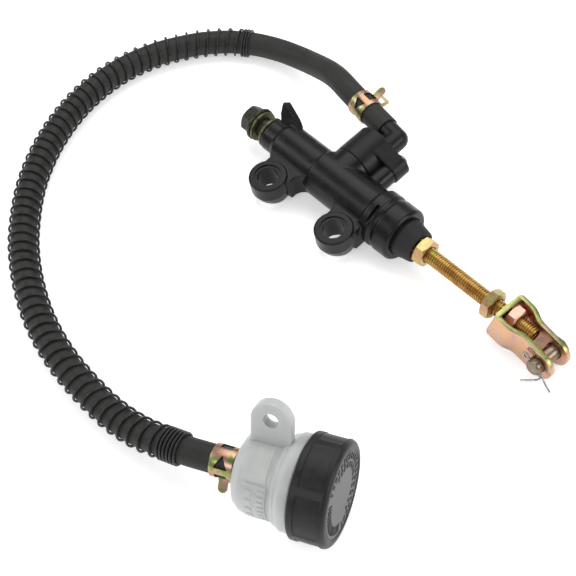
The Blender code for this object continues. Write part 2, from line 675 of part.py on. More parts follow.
def make_cotter(parent, finish):
    """Split pin through the clevis pin: an eye, two legs side by side, and their bent ends."""
    turn = Matrix.Rotation(PIN_TURN, 4, "Y")
    loop = arc((-6.4, 0), 1.55, 24, 336, 10)
    shank = [(4.4, 0.62)] + loop + [(4.4, -0.62)]
    forward = [Vector(point) for point in ((7.2, -0.5, -2.6), (6.0, -0.2, -1.6))]
    sideways = [Vector(point) for point in ((5.2, -1.0, -2.5), (4.4, -2.8, -2.7),
                                            (2.4, -5.8, -2.4), (0.2, -8.4, -2.0))]
    points = forward + [turn @ Vector((x, 0, v)) for x, v in shank] + sideways
    path = [Vector((PIN_STATION, COTTER_AT, 0)) + MM * point for point in points]
    return place(wire("cotter_pin", path, 0.45 * MM, 1), parent, finish)


# ---------------------------------------------------------------- reservoir

def make_reservoir(parent, finish):
    """Moulded bottle: hose barb, rounded bottom, straight wall, collar and threaded neck."""
    barb = [(-x, r) for x, r in reversed(barb_profile(0.6 * MM, LOWER_BARB_LENGTH))]
    outer = [(0.0, 7.5), (0.7, 12.0), (2.6, 15.6), (5.6, 17.6), (8.0, 18.0), (20.4, 18.0),
             (21.8, 18.7), (22.9, 20.3), (23.9, 20.9), (28.3, 20.9)]
    inner = [(22.8, 18.2), (20.9, 16.4), (8.2, 16.2), (5.8, 15.6), (3.8, 13.6), (2.5, 10.5),
             (2.0, 6.0), (2.0, 2.2), (-14.6, 2.2)]
    neck = [(28.3 * MM, NECK_RADIUS), (NECK_END, NECK_RADIUS), (NECK_END, NECK_BORE)]
    profile = barb + [(x * MM, r * MM) for x, r in outer] + neck
    profile += [(x * MM, r * MM) for x, r in inner]
    body = turned("reservoir_body", profile, 30, ring=True)
    rise = RESERVOIR_RADIUS - WALL / 2
    outline = [(EAR_STATION + EAR_HALF_WIDTH, rise)]
    outline += arc((EAR_STATION, EAR_CENTRE), EAR_HALF_WIDTH, 0, 180, 14)
    outline += [(EAR_STATION - EAR_HALF_WIDTH, rise)]
    ear = prism("bottle_ear", outline, -EAR_HALF_THICKNESS, EAR_HALF_THICKNESS)
    ear.data.transform(Matrix.Rotation(math.radians(90), 4, "X"))
    combine(body, ear, "UNION")
    hole = prism("ear_hole", circle(EAR_HOLE_RADIUS, 18, (EAR_STATION, EAR_HOLE)),
                 -10 * MM, 10 * MM)
    hole.data.transform(Matrix.Rotation(math.radians(90), 4, "X"))
    combine(body, hole, "DIFFERENCE")
    return place(body, parent, finish)


def grip_recess(number):
    """Cutter for one of the wide shallow recesses in the cap's side."""
    shape = bmesh.new()
    rows = []
    floor = CAP_RADIUS - 0.4 * MM
    for step in range(-2, 3):
        angle = 2 * math.pi * number / CAP_RECESSES + math.radians(56 + 13 * step)
        rows.append([shape.verts.new((x, r * math.cos(angle), r * math.sin(angle)))
                     for x, r in ((CAP_START + 3 * MM, CAP_RADIUS + MM),
                                  (CAP_START + 3 * MM, floor), (CAP_END - 3 * MM, floor),
                                  (CAP_END - 3 * MM, CAP_RADIUS + MM))])
    bridge_rows(shape, rows, False)
    shape.faces.new(rows[0])
    shape.faces.new(rows[-1])
    return from_bmesh(f"grip_recess_{number}", shape)


def make_cap(parent, finish):
    """Screw cap with a rounded edge, shallow grip recesses and a rim round its face."""
    outside = [(CAP_START, 0), (CAP_START, CAP_RADIUS - 0.4 * MM),
               (CAP_START + 0.6 * MM, CAP_RADIUS), (CAP_END - 2.2 * MM, CAP_RADIUS),
               (CAP_END - 0.9 * MM, CAP_RADIUS - 0.5 * MM),
               (CAP_END - 0.2 * MM, CAP_RADIUS - 1.4 * MM),
               (CAP_END, CAP_RADIUS - 2.5 * MM), (CAP_END, CAP_RADIUS - 3.4 * MM),
               (CAP_END - 0.4 * MM, CAP_RADIUS - 3.8 * MM), (CAP_END - 0.4 * MM, 8.6 * MM),
               (CAP_END - 0.2 * MM, 8.2 * MM), (CAP_END - 0.2 * MM, 0)]
    cap = turned("reservoir_cap", outside, 30)
    for number in range(CAP_RECESSES):
        combine(cap, grip_recess(number), "DIFFERENCE")
    hollow = turned("cap_hollow", [(CAP_START - 6 * MM, CAP_BORE), (CAP_FLOOR, CAP_BORE)], 30)
    combine(cap, hollow, "DIFFERENCE")
    return place(cap, parent, finish)


def make_diaphragm(parent, finish):
    """Rubber bellows: a rim on the neck and one fold that hangs into the bottle."""
    profile = [(38.7, 0), (38.7, 11.6), (33.9, 12.4), (33.9, 15.2), (41.2, 16.0), (41.2, 20.1),
               (40.4, 20.1), (40.4, 17.0), (33.1, 16.0), (33.1, 11.8), (37.9, 10.8), (37.9, 0)]
    bellows = turned("diaphragm", [(x * MM, r * MM) for x, r in profile], 24)
    return place(bellows, parent, finish)


# ---------------------------------------------------------------- hose

def tongue(name, reach, half_width, thickness, turn, station):
    """Tab that stands out of a clamp band."""
    outline = [(-half_width, CLAMP_INNER + 0.2 * MM), (half_width, CLAMP_INNER + 0.2 * MM)]
    outline += arc((0, reach - half_width), half_width, 0, 180, 8)
    tab = prism(name, outline, -thickness / 2, thickness / 2)
    tab.data.transform(Matrix.Translation((station, 0, 0)))
    tab.data.transform(Matrix.Rotation(math.radians(turn), 4, "X"))
    return tab


def make_clamp(name, start, parent, finish, placement, turns):
    """Spring band clamp: a ring around the hose and the two tabs that open it."""
    profile = [(start, CLAMP_INNER), (start, CLAMP_OUTER), (start + CLAMP_WIDTH, CLAMP_OUTER),
               (start + CLAMP_WIDTH, CLAMP_INNER)]
    band = turned(name, profile, 24, ring=True)
    middle = start + CLAMP_WIDTH / 2
    combine(band, tongue(name + "_tongue", 15.0 * MM, 2.3 * MM, 0.8 * MM, turns[0], middle),
            "UNION")
    combine(band, tongue(name + "_loop", 14.0 * MM, 3.0 * MM, 0.8 * MM, turns[1], middle), "UNION")
    place(band, parent, finish)
    band.matrix_local = placement
    return band


def make_hose_end(name, start, length, parent, finish, placement):
    """Stretch of hose pushed over a barb."""
    profile = [(start, HOSE_BORE), (start, HOSE_RADIUS), (start + length, HOSE_RADIUS),
               (start + length, HOSE_BORE)]
    sleeve = place(turned(name, profile, 20, ring=True), parent, finish)
    sleeve.matrix_local = placement
    return sleeve


def make_hose(finish, guard_finish):
    points = smooth_route(TUBE_ROUTE, TUBE_SPACING)
    hose = wire("hose", points, HOSE_RADIUS, 3)
    hose.data.materials.append(finish)
    step = (points[1] - points[0]).length
    first = round(GUARD_FROM / step)
    last = round(GUARD_TO / step)
    guard = swept_ring("spring_guard", points[first:last + 1], GUARD_INNER, GUARD_OUTER)
    guard.data.materials.append(guard_finish)


# ---------------------------------------------------------------- assembly

def main():
    clear_scene()
    black_cast = material("black_cast", (0.012, 0.012, 0.013), 0.35, 0.3)
    black_steel = material("black_steel", (0.035, 0.036, 0.028), 0.4, 0.8)
    brass = material("brass", (0.45, 0.42, 0.2), 0.35, 1.0)
    black_plastic = material("black_plastic", (0.015, 0.015, 0.016), 0.4)
    rubber = material("rubber", (0.022, 0.022, 0.023), 0.75)
    hose_rubber = material("hose_rubber", (0.045, 0.047, 0.043), 0.7)
    steel = material("steel", (0.6, 0.6, 0.6), 0.3, 1.0)
    zinc = material("yellow_zinc", (0.72, 0.52, 0.24), 0.3, 1.0)
    aluminium = material("aluminium", (0.7, 0.71, 0.73), 0.35, 1.0)
    guard_wire = material("guard_wire", (0.02, 0.02, 0.02), 0.35, 0.6)
    bottle = material("milky_plastic", (0.78, 0.8, 0.79), 0.35)

    casting = frame("casting_frame", NOSE_AT, (LEAN, 0, 0))
    make_casting(casting, black_cast)
    make_banjo_bolt(casting, black_steel)
    make_ring("banjo_washer_outer", OUTER_WASHER, WASHER_RADII, casting, brass)
    make_ring("banjo_washer_inner", INNER_WASHER, WASHER_RADII, casting, brass)
    make_elbow(casting, black_plastic)
    make_o_ring(casting, rubber)
    make_elbow_screw(casting, steel)
    make_return_spring(casting, steel)
    make_cup("primary_cup", CUP_START, casting, rubber)
    make_cup("secondary_cup", 65.9 * MM, casting, rubber, stem=3.9 * MM)
    make_piston(casting, aluminium)
    make_pushrod(casting, zinc)
    make_ring("pushrod_washer", (85.2 * MM, 86.6 * MM), (4.7 * MM, 8.6 * MM), casting, zinc)
    make_circlip(casting, steel)
    make_boot(casting, rubber)
    make_nut("boot_nut", BOOT_NUT, casting, zinc, math.radians(10))
    make_nut("lock_nut", LOCK_NUT, casting, zinc, math.radians(25))

    rod_axis = frame("rod_frame", NOSE_AT, (0, 0, 0))
    make_nut("clevis_nut", CLEVIS_NUT, rod_axis, zinc)
    fork = frame("clevis_frame", NOSE_AT + Vector((CLEVIS_STATION, 0, 0)), (0, CLEVIS_DROOP, 0))
    make_clevis(fork, zinc)
    make_clevis_pin(fork, zinc)
    make_cotter(fork, steel)

    bottle_frame = frame("reservoir_frame", RESERVOIR_AT,
                         (-EAR_LEAN, -RESERVOIR_TILT, RESERVOIR_TURN))
    make_reservoir(bottle_frame, bottle)
    make_cap(bottle_frame, black_plastic)
    make_diaphragm(bottle_frame, rubber)
    make_ring("diaphragm_plate", (41.5 * MM, 42.5 * MM), (3.0 * MM, 20.1 * MM), bottle_frame,
              black_plastic)

    make_hose_end("hose_end_upper", ELBOW_SHOULDER + GAP, UPPER_GRIP - GAP, casting,
                  hose_rubber, outlet_placement())
    make_hose_end("hose_end_lower", 0.9 * MM, LOWER_GRIP, bottle_frame, hose_rubber,
                  Matrix.Rotation(math.pi, 4, "Z"))
    make_hose(hose_rubber, guard_wire)
    make_clamp("hose_clamp_upper", ELBOW_SHOULDER + 13.8 * MM, casting, zinc,
               outlet_placement(), (100, 60))
    make_clamp("hose_clamp_lower", 1.2 * MM, bottle_frame, zinc,
               Matrix.Rotation(math.pi, 4, "Z"), (-100, 130))


main()
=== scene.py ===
"""Looks of the rear brake master cylinder with its hose and remote reservoir.

Every piece is built in the frame of the part that it belongs to (the casting, the clevis or the
bottle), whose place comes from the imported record, and is then moved into the row frame.
Lengths along the bore are measured from the nose, the machined face under the banjo bolt.
"""
import json
import math

import bmesh
import bpy
from mathutils import Matrix, Vector


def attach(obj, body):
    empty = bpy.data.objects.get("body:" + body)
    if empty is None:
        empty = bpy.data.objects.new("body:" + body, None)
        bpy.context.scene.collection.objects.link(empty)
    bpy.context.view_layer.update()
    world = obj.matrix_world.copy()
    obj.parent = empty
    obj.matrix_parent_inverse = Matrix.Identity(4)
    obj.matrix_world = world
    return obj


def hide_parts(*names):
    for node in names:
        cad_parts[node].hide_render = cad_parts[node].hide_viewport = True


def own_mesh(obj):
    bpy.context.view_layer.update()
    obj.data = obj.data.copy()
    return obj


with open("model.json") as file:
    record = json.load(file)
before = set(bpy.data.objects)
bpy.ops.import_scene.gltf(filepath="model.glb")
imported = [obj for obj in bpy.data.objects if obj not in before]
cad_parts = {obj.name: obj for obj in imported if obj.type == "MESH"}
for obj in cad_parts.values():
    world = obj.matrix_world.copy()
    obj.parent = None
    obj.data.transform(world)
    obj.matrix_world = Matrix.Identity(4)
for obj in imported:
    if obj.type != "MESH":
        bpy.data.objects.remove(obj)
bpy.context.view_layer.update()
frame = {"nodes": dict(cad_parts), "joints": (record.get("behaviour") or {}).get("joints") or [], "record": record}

MM = 0.001
BALL_STATION = 77.5                     # of the push rod's ball, where pushrod_tilt turns
CAP_JOINT_STATION = 36.0                # of cap_turn, along the bottle
JOINTS = {joint["name"]: joint for joint in frame["joints"]}
MOUNTS = {mount["name"]: mount for mount in frame["record"]["mounts"]}


# ---------------------------------------------------------------- frames

def rotation(degrees, axis):
    return Matrix.Rotation(math.radians(degrees), 4, axis)


def shift(distance):
    """Move along X by a distance in millimetres."""
    return Matrix.Translation((distance * MM, 0, 0))


def casting_matrix():
    """The bore runs along X from the nose, the inlet is on +Y and the lugs' bolts run along Z."""
    height = Vector(JOINTS["clevis_tilt"]["pos_m"])
    ball = JOINTS["pushrod_tilt"]["pos_m"][0]
    nose = Vector((ball - BALL_STATION * MM, height.y, height.z))
    bolts = -Vector(MOUNTS["lug_face_front"]["axis"])
    lean = math.atan2(-bolts.y, bolts.z)
    return Matrix.Translation(nose) @ Matrix.Rotation(lean, 4, "X")


def clevis_matrix():
    """The clevis runs along X from the outside of its base, and its pin along Y."""
    base = Vector(JOINTS["clevis_tilt"]["pos_m"])
    pin = Vector(JOINTS["clevis_pin_spin"]["pos_m"])
    droop = math.atan2(base.z - pin.z, pin.x - base.x)
    return Matrix.Translation(base) @ Matrix.Rotation(droop, 4, "Y")


def bottle_matrix():
    """The bottle runs along X from its bottom, and its ear stands along Z."""
    along = Vector(JOINTS["cap_turn"]["axis"])
    back = -Vector(MOUNTS["reservoir_ear_face"]["axis"])
    bottom = Vector(JOINTS["cap_turn"]["pos_m"]) - CAP_JOINT_STATION * MM * along
    turn = Matrix((along, back, along.cross(back))).transposed().to_4x4()
    return Matrix.Translation(bottom) @ turn


CASTING = casting_matrix()
CLEVIS = clevis_matrix()
BOTTLE = bottle_matrix()
ELBOW_BEND = Vector((51.2, 39.0, 0.0))
ELBOW_TURN = 171                        # degrees
ELBOW_OUTLET = Matrix.Translation(MM * ELBOW_BEND) @ rotation(ELBOW_TURN, "Z")
OUTLET = CASTING @ ELBOW_OUTLET
NOZZLE = BOTTLE @ rotation(180, "Z")


# ---------------------------------------------------------------- camera, light, floor

def new_object(name, data):
    made = bpy.data.objects.new(name, data)
    bpy.context.scene.collection.objects.link(made)
    return made


def set_inputs(node, values):
    for name, value in values.items():
        node.inputs[name].default_value = value


def aim(thing, position, target):
    thing.location = position
    thing.rotation_euler = (target - position).to_track_quat("-Z", "Y").to_euler()


def make_camera():
    data = bpy.data.cameras.new("camera")
    data.lens = 81.25
    data.sensor_width = 36
    camera = new_object("camera", data)
    azimuth = math.radians(47.45)
    elevation = math.radians(51)
    towards = Vector((math.cos(elevation) * math.sin(azimuth),
                      -math.cos(elevation) * math.cos(azimuth), math.sin(elevation)))
    position = Vector((0.2734, -0.2636, 0.4827))
    aim(camera, position, position - towards)
    bpy.context.scene.camera = camera


def make_light(name, position, size, power):
    data = bpy.data.lights.new(name, "AREA")
    data.shape = "RECTANGLE"
    data.size = size[0]
    data.size_y = size[1]
    data.energy = power
    aim(new_object(name, data), Vector(position), Vector((0, 0, 0.02)))


def make_studio():
    world = bpy.data.worlds.new("studio")
    bpy.context.scene.world = world
    world.use_nodes = True
    set_inputs(world.node_tree.nodes["Background"], {"Color": (1, 1, 1, 1), "Strength": 0.4})
    make_light("overhead", (-0.30, 0.40, 0.90), (0.9, 0.9), 6)
    make_light("left", (-0.75, -0.50, 0.55), (0.6, 0.4), 3)
    make_light("right", (0.70, 0.30, 0.45), (0.5, 0.4), 3)
    make_light("front", (0.15, -0.80, 0.60), (0.6, 0.3), 2)
    bpy.ops.mesh.primitive_plane_add(size=3, location=(0, 0, 0))
    floor = bpy.context.active_object
    floor.name = "floor"
    white = plain_material("floor_white", 0.92, 0.9)
    shader = white.node_tree.nodes["Principled BSDF"]
    set_inputs(shader, {"Emission Color": (1, 1, 1, 1), "Emission Strength": 0.46})
    floor.data.materials.append(white)
    bpy.context.scene.view_settings.view_transform = "Standard"


# ---------------------------------------------------------------- materials

def opaque(colour):
    """Colour with its alpha; a single number is a grey."""
    return (*colour, 1) if isinstance(colour, tuple) else (colour, colour, colour, 1)


def link(tree, start, output, end, socket):
    tree.links.new(start.outputs[output], end.inputs[socket])


def noise(tree, scale, detail=3.0, roughness=0.55):
    """Noise in the object's own coordinates; the scale is in cells per metre."""
    place = tree.nodes.new("ShaderNodeTexCoord")
    texture = tree.nodes.new("ShaderNodeTexNoise")
    set_inputs(texture, {"Scale": scale, "Detail": detail, "Roughness": roughness})
    link(tree, place, "Object", texture, "Vector")
    return texture


def ramp(tree, source, output, stops):
    """Colour ramp; each stop is (position, colour or grey)."""
    node = tree.nodes.new("ShaderNodeValToRGB")
    elements = node.color_ramp.elements
    while len(elements) < len(stops):
        elements.new(0.5)
    for element, (position, colour) in zip(elements, stops):
        element.position = position
        element.color = opaque(colour)
    link(tree, source, output, node, "Fac")
    return node


def bump(tree, shader, source, output, distance):
    node = tree.nodes.new("ShaderNodeBump")
    set_inputs(node, {"Distance": distance, "Strength": 1.0})
    link(tree, source, output, node, "Height")
    link(tree, node, "Normal", shader, "Normal")


def plain_material(name, colour, roughness, metallic=0.0):
    made = bpy.data.materials.new(name)
    made.use_nodes = True
    shader = made.node_tree.nodes["Principled BSDF"]
    set_inputs(shader, {"Base Color": opaque(colour), "Roughness": roughness, "Metallic": metallic})
    return made


def surface(name, dark, light, rough, metallic=0.0, patch=220, grain=2600, grain_depth=0.03,
            gloss=0.5):
    """Material whose colour and roughness drift over patches, with a fine grain in its surface.

    dark and light are the ends of its colour, rough those of its roughness, patch and grain the
    cells per metre, and grain_depth is in millimetres.
    """
    made = plain_material(name, light, rough[0], metallic)
    tree = made.node_tree
    shader = tree.nodes["Principled BSDF"]
    set_inputs(shader, {"Specular IOR Level": gloss})
    drift = noise(tree, patch, 4)
    colours = ramp(tree, drift, "Fac", [(0.32, dark), (0.68, light)])
    link(tree, colours, "Color", shader, "Base Color")
    fine = noise(tree, grain, 2)
    roughs = ramp(tree, drift, "Fac", [(0.3, rough[0]), (0.7, rough[1])])
    link(tree, roughs, "Color", shader, "Roughness")
    bump(tree, shader, fine, "Fac", grain_depth * MM)
    return made


# Ramps for yellow_zinc(): each spans the plating's own drifting tones and a painted sheen, as faces turned towards
# the material's given direction reach its higher stops.
GOLD = [(0.25, (0.30, 0.17, 0.045)), (0.42, (0.42, 0.24, 0.07)), (0.58, (0.48, 0.31, 0.10)),
        (0.75, (0.34, 0.30, 0.07))]
PINK_AND_GREEN = [(0.25, (0.26, 0.19, 0.15)), (0.38, (0.42, 0.24, 0.20)), (0.47, (0.46, 0.27, 0.09)),
                  (0.56, (0.46, 0.24, 0.21)), (0.68, (0.36, 0.31, 0.17)), (0.78, (0.20, 0.24, 0.07)),
                  (0.95, (0.28, 0.31, 0.11))]
ORANGE = [(0.30, (0.60, 0.28, 0.20)), (0.48, (0.66, 0.38, 0.12)), (0.62, (0.60, 0.31, 0.26)),
          (0.80, (0.52, 0.40, 0.18))]
NUT = [(0.25, (0.40, 0.24, 0.18)), (0.45, (0.50, 0.30, 0.14)), (0.60, (0.46, 0.38, 0.15)),
       (0.80, (0.32, 0.34, 0.12))]
FORK = [(0.25, (0.33, 0.24, 0.20)), (0.38, (0.54, 0.32, 0.27)), (0.47, (0.58, 0.35, 0.14)),
        (0.56, (0.58, 0.32, 0.28)), (0.68, (0.45, 0.38, 0.22)), (0.78, (0.28, 0.31, 0.11)),
        (0.95, (0.36, 0.38, 0.15))]
DARK_PIN = [(0.30, (0.10, 0.08, 0.07)), (0.50, (0.24, 0.15, 0.11)), (0.62, (0.20, 0.18, 0.13)),
            (0.80, (0.34, 0.24, 0.18))]


def yellow_zinc(name, stops, towards, patch=150):
    """Iridescent plating whose colour drifts over the surface, with a painted sheen that shifts its colour and
    brightness with the way each face points.
    """
    made = plain_material(name, (0.75, 0.55, 0.25), 0.3, 1.0)
    tree = made.node_tree
    shader = tree.nodes["Principled BSDF"]
    drift = noise(tree, patch, 2, 0.5)
    # painted sheen: the dot of each face's normal with the given direction is added to the drift, so colour and
    # brightness follow which way a face points
    geometry = tree.nodes.new("ShaderNodeNewGeometry")
    painted_sheen_facing = tree.nodes.new("ShaderNodeVectorMath")
    painted_sheen_facing.operation = "DOT_PRODUCT"
    painted_sheen_facing.inputs[1].default_value = towards
    link(tree, geometry, "Normal", painted_sheen_facing, 0)
    total = tree.nodes.new("ShaderNodeMath")
    total.operation = "ADD"
    link(tree, drift, "Fac", total, 0)
    link(tree, painted_sheen_facing, "Value", total, 1)
    colours = ramp(tree, total, "Value", stops)
    link(tree, colours, "Color", shader, "Base Color")
    fine = noise(tree, 900, 4)
    roughs = ramp(tree, fine, "Fac", [(0.3, 0.26), (0.7, 0.40)])
    link(tree, roughs, "Color", shader, "Roughness")
    bump(tree, shader, fine, "Fac", 0.015 * MM)
    return made


def milky_plastic():
    made = surface("milky_plastic", (0.47, 0.49, 0.48), (0.55, 0.56, 0.55), (0.34, 0.44),
                   patch=60, grain=900, grain_depth=0.02)
    shader = made.node_tree.nodes["Principled BSDF"]
    set_inputs(shader, {"Subsurface Weight": 0.5, "Subsurface Radius": (1.0, 1.0, 1.0),
                        "Subsurface Scale": 0.006, "Transmission Weight": 0.12})
    return made


def make_materials():
    return {
        "paint": surface("body_black", 0.004, 0.009,
                         (0.26, 0.36), grain=1500, grain_depth=0.025, gloss=0.22),
        "bolt": surface("bolt_black", (0.016, 0.017, 0.013), (0.045, 0.044, 0.030),
                        (0.34, 0.50), 0.6, patch=500),
        "olive": surface("washer_olive", (0.045, 0.045, 0.020), (0.16, 0.15, 0.07),
                         (0.36, 0.52), 0.8, patch=600),
        "moulded": surface("moulded_black", 0.006, 0.012,
                           (0.32, 0.44), grain=2200, grain_depth=0.02, gloss=0.2),
        "rubber": surface("rubber_black", (0.010, 0.010, 0.011), (0.018, 0.018, 0.019),
                          (0.55, 0.72), grain=2600, grain_depth=0.03, gloss=0.3),
        "hose": surface("hose_rubber", (0.014, 0.015, 0.013), (0.026, 0.027, 0.024),
                        (0.50, 0.66), patch=120, grain=2400, grain_depth=0.03, gloss=0.3),
        "steel": surface("bright_steel", 0.22, (0.42, 0.42, 0.41),
                         (0.24, 0.38), 1.0, patch=700),
        # the third argument of each yellow_zinc() is the direction of its painted sheen
        "zinc": yellow_zinc("yellow_zinc", PINK_AND_GREEN, (0.10, -0.12, 0.12), 260),
        "clevis": yellow_zinc("clevis_zinc", FORK, (0.0, 0.0, 0.36)),
        "nut": yellow_zinc("nut_zinc", NUT, (0.0, 0.15, 0.15), 200),
        "gold": yellow_zinc("gold_zinc", GOLD, (0.0, 0.1, 0.1)),
        "pin": yellow_zinc("pin_zinc", DARK_PIN, (0.0, -0.1, 0.1)),
        "orange": yellow_zinc("orange_zinc", ORANGE, (0.1, 0.0, 0.1)),
        "cap": surface("cap_black", 0.012, 0.020,
                       (0.36, 0.48), grain=2200, grain_depth=0.02, gloss=0.22),
        # painted light: a lighter copy of the cap's black plastic for its face, standing for the light that falls
        # on the face
        "painted_lit_cap_face": surface("painted_lit_cap_face", 0.085, 0.115,
                            (0.50, 0.60), grain=2200, grain_depth=0.02),
        "mark": surface("cap_marks", 0.002, 0.005,
                        (0.5, 0.6), grain=2200, grain_depth=0.02),
        "aluminium": surface("piston_aluminium", (0.62, 0.63, 0.65), (0.76, 0.77, 0.79),
                             (0.26, 0.38), 1.0, patch=400),
        "guard": surface("guard_wire", 0.010, 0.022,
                         (0.28, 0.40), 0.0, patch=300, gloss=0.3),
        "milky": milky_plastic(),
    }


# ---------------------------------------------------------------- shapes

FACING_ALONG_X = Matrix(((0, 0, 1, 0), (1, 0, 0, 0), (0, 1, 0, 0), (0, 0, 0, 1)))


def circle(radius, sides, centre=(0.0, 0.0), start=0.0):
    steps = [start + 2 * math.pi * step / sides for step in range(sides)]
    return [(centre[0] + radius * math.cos(a), centre[1] + radius * math.sin(a)) for a in steps]


def arc(centre, radius, first, last, steps=8):
    """Points on an arc, with the angles in degrees."""
    angles = [math.radians(first + (last - first) * step / steps) for step in range(steps + 1)]
    return [(centre[0] + radius * math.cos(a), centre[1] + radius * math.sin(a)) for a in angles]


def rounded(points, radius, closed=False, steps=4):
    """Outline with its corners rounded."""
    count = len(points)
    result = []
    for index, corner in enumerate(points):
        here = Vector(corner)
        if not closed and index in (0, count - 1):
            result.append(tuple(corner))
            continue
        before = Vector(points[index - 1]) - here
        after = Vector(points[(index + 1) % count]) - here
        reach = min(radius, 0.49 * before.length, 0.49 * after.length)
        start = here + before.normalized() * reach
        end = here + after.normalized() * reach
        for step in range(steps + 1):
            t = step / steps
            result.append(tuple((1 - t) ** 2 * start + 2 * t * (1 - t) * here + t ** 2 * end))
    return result


def from_bmesh(name, shape, placement=None, angle=35):
    """Object from a bmesh in millimetres, moved into the row frame."""
    bmesh.ops.recalc_face_normals(shape, faces=shape.faces)
    mesh = bpy.data.meshes.new(name)
    shape.to_mesh(mesh)
    shape.free()
    mesh.transform(Matrix.Scale(MM, 4))
    if placement is not None:
        mesh.transform(placement)
    piece = new_object(name, mesh)
    shade(piece, angle)
    return piece


def shade(piece, angle=35):
    piece.data.shade_smooth()
    piece.data.set_sharp_from_angle(angle=math.radians(angle))


def skin(shape, rows, ring):
    """Faces between consecutive rows of vertices; a row of one vertex is a pole."""
    pairs = list(zip(rows, rows[1:]))
    if ring:
        pairs.append((rows[-1], rows[0]))
    for first, second in pairs:
        sides = max(len(first), len(second))
        for index in range(sides):
            after = (index + 1) % sides
            corners = [first[index % len(first)], first[after % len(first)],
                       second[after % len(second)], second[index % len(second)]]
            shape.faces.new(dict.fromkeys(corners))


def lofted(name, shape, rows, placement=None, angle=35):
    """Solid skinned over rows of vertices and closed at both ends."""
    skin(shape, rows, False)
    shape.faces.new(rows[0])
    shape.faces.new(rows[-1])
    return from_bmesh(name, shape, placement, angle)


def turned(name, profile, sides=64, ring=False, placement=None):
    """Solid turned about X from (station, radius) points; a ring's profile closes."""
    shape = bmesh.new()
    rows = []
    for station, radius in profile:
        if radius <= 1e-6:
            rows.append([shape.verts.new((station, 0, 0))])
        else:
            rows.append([shape.verts.new((station, y, z)) for y, z in circle(radius, sides)])
    skin(shape, rows, ring)
    for row in (rows[0], rows[-1]):
        if not ring and len(row) > 1:
            shape.faces.new(row)
    return from_bmesh(name, shape, placement)


def plug(start, end, radius):
    """Profile of a plain round plug, for turned()."""
    return [(start, 0), (start, radius), (end, radius), (end, 0)]


def prism(name, outline, low, high):
    """Outline in X and Y, extruded along Z from low to high."""
    shape = bmesh.new()
    bottom = shape.faces.new([shape.verts.new((x, y, low)) for x, y in outline])
    grown = bmesh.ops.extrude_face_region(shape, geom=[bottom])["geom"]
    moved = [item for item in grown if isinstance(item, bmesh.types.BMVert)]
    bmesh.ops.translate(shape, verts=moved, vec=(0, 0, high - low))
    return from_bmesh(name, shape)


def prism_along_y(name, outline, low, high):
    """Outline in X and Z, extruded along -Y from low to high."""
    piece = prism(name, outline, low, high)
    piece.data.transform(rotation(90, "X"))
    return piece


def sections(points):
    """Two directions across a path at each of its points, carried along without twist."""
    tangents = []
    for index in range(len(points)):
        before = points[max(index - 1, 0)]
        after = points[min(index + 1, len(points) - 1)]
        tangents.append((after - before).normalized())
    side = tangents[0].orthogonal().normalized()
    if abs(tangents[0].z) < 0.9:
        side = tangents[0].cross(Vector((0, 0, 1))).normalized()
    frames = []
    for tangent in tangents:
        side = (side - tangent * side.dot(tangent)).normalized()
        frames.append((side, side.cross(tangent)))
    return frames


def sweep(name, points, radius, sides=12, placement=None, inner=0.0):
    """Round bar along a path in millimetres, or a tube where inner is set."""
    shape = bmesh.new()
    frames = sections(points)

    def rows(reach):
        return [[shape.verts.new(point + side * y + up * z) for y, z in circle(reach, sides)]
                for point, (side, up) in zip(points, frames)]

    outside = rows(radius)
    if not inner:
        return lofted(name, shape, outside, placement, 50)
    skin(shape, outside + rows(inner)[::-1], True)
    return from_bmesh(name, shape, placement, 50)


def bake(piece):
    """Applies a piece's modifiers."""
    graph = bpy.context.evaluated_depsgraph_get()
    mesh = bpy.data.meshes.new_from_object(piece.evaluated_get(graph))
    old = piece.data
    piece.modifiers.clear()
    piece.data = mesh
    bpy.data.meshes.remove(old)
    return piece


def combine(piece, tool, operation="DIFFERENCE"):
    """Boolean with a tool that is used up."""
    modifier = piece.modifiers.new("combine", "BOOLEAN")
    modifier.operation = operation
    modifier.object = tool
    bake(piece)
    bpy.data.objects.remove(tool)
    return piece


def bevelled(piece, width, segments=3, angle=35):
    modifier = piece.modifiers.new("bevel", "BEVEL")
    modifier.width = width * MM
    modifier.segments = segments
    modifier.limit_method = "ANGLE"
    modifier.angle_limit = math.radians(angle)
    bake(piece)
    shade(piece, 40)
    return piece


def joined(name, pieces):
    """One object that holds the meshes of several."""
    shape = bmesh.new()
    for piece in pieces:
        shape.from_mesh(piece.data)
        bpy.data.objects.remove(piece)
    mesh = bpy.data.meshes.new(name)
    shape.to_mesh(mesh)
    shape.free()
    return new_object(name, mesh)


def moulded(name, pieces, voxel, smoothing):
    """Overlapping shapes fused into one skin with soft fillets, as cast or moulded parts have."""
    piece = joined(name, pieces)
    fuse = piece.modifiers.new("fuse", "REMESH")
    fuse.mode = "VOXEL"
    fuse.voxel_size = voxel * MM
    soften = piece.modifiers.new("soften", "SMOOTH")
    soften.factor = 0.5
    soften.iterations = smoothing
    return bake(piece)


def along_y(station):
    """Placement of a shape turned about X onto the casting's +Y side, at a station."""
    return shift(station) @ rotation(90, "Z")


def finish(piece, material, slot, body, *nodes):
    """Gives a piece its material, its body and the CAD nodes that it stands for."""
    piece.data.materials.clear()
    piece.data.materials.append(material)
    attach(piece, body)
    if nodes:
        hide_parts(*nodes)
    return piece


# ---------------------------------------------------------------- hose

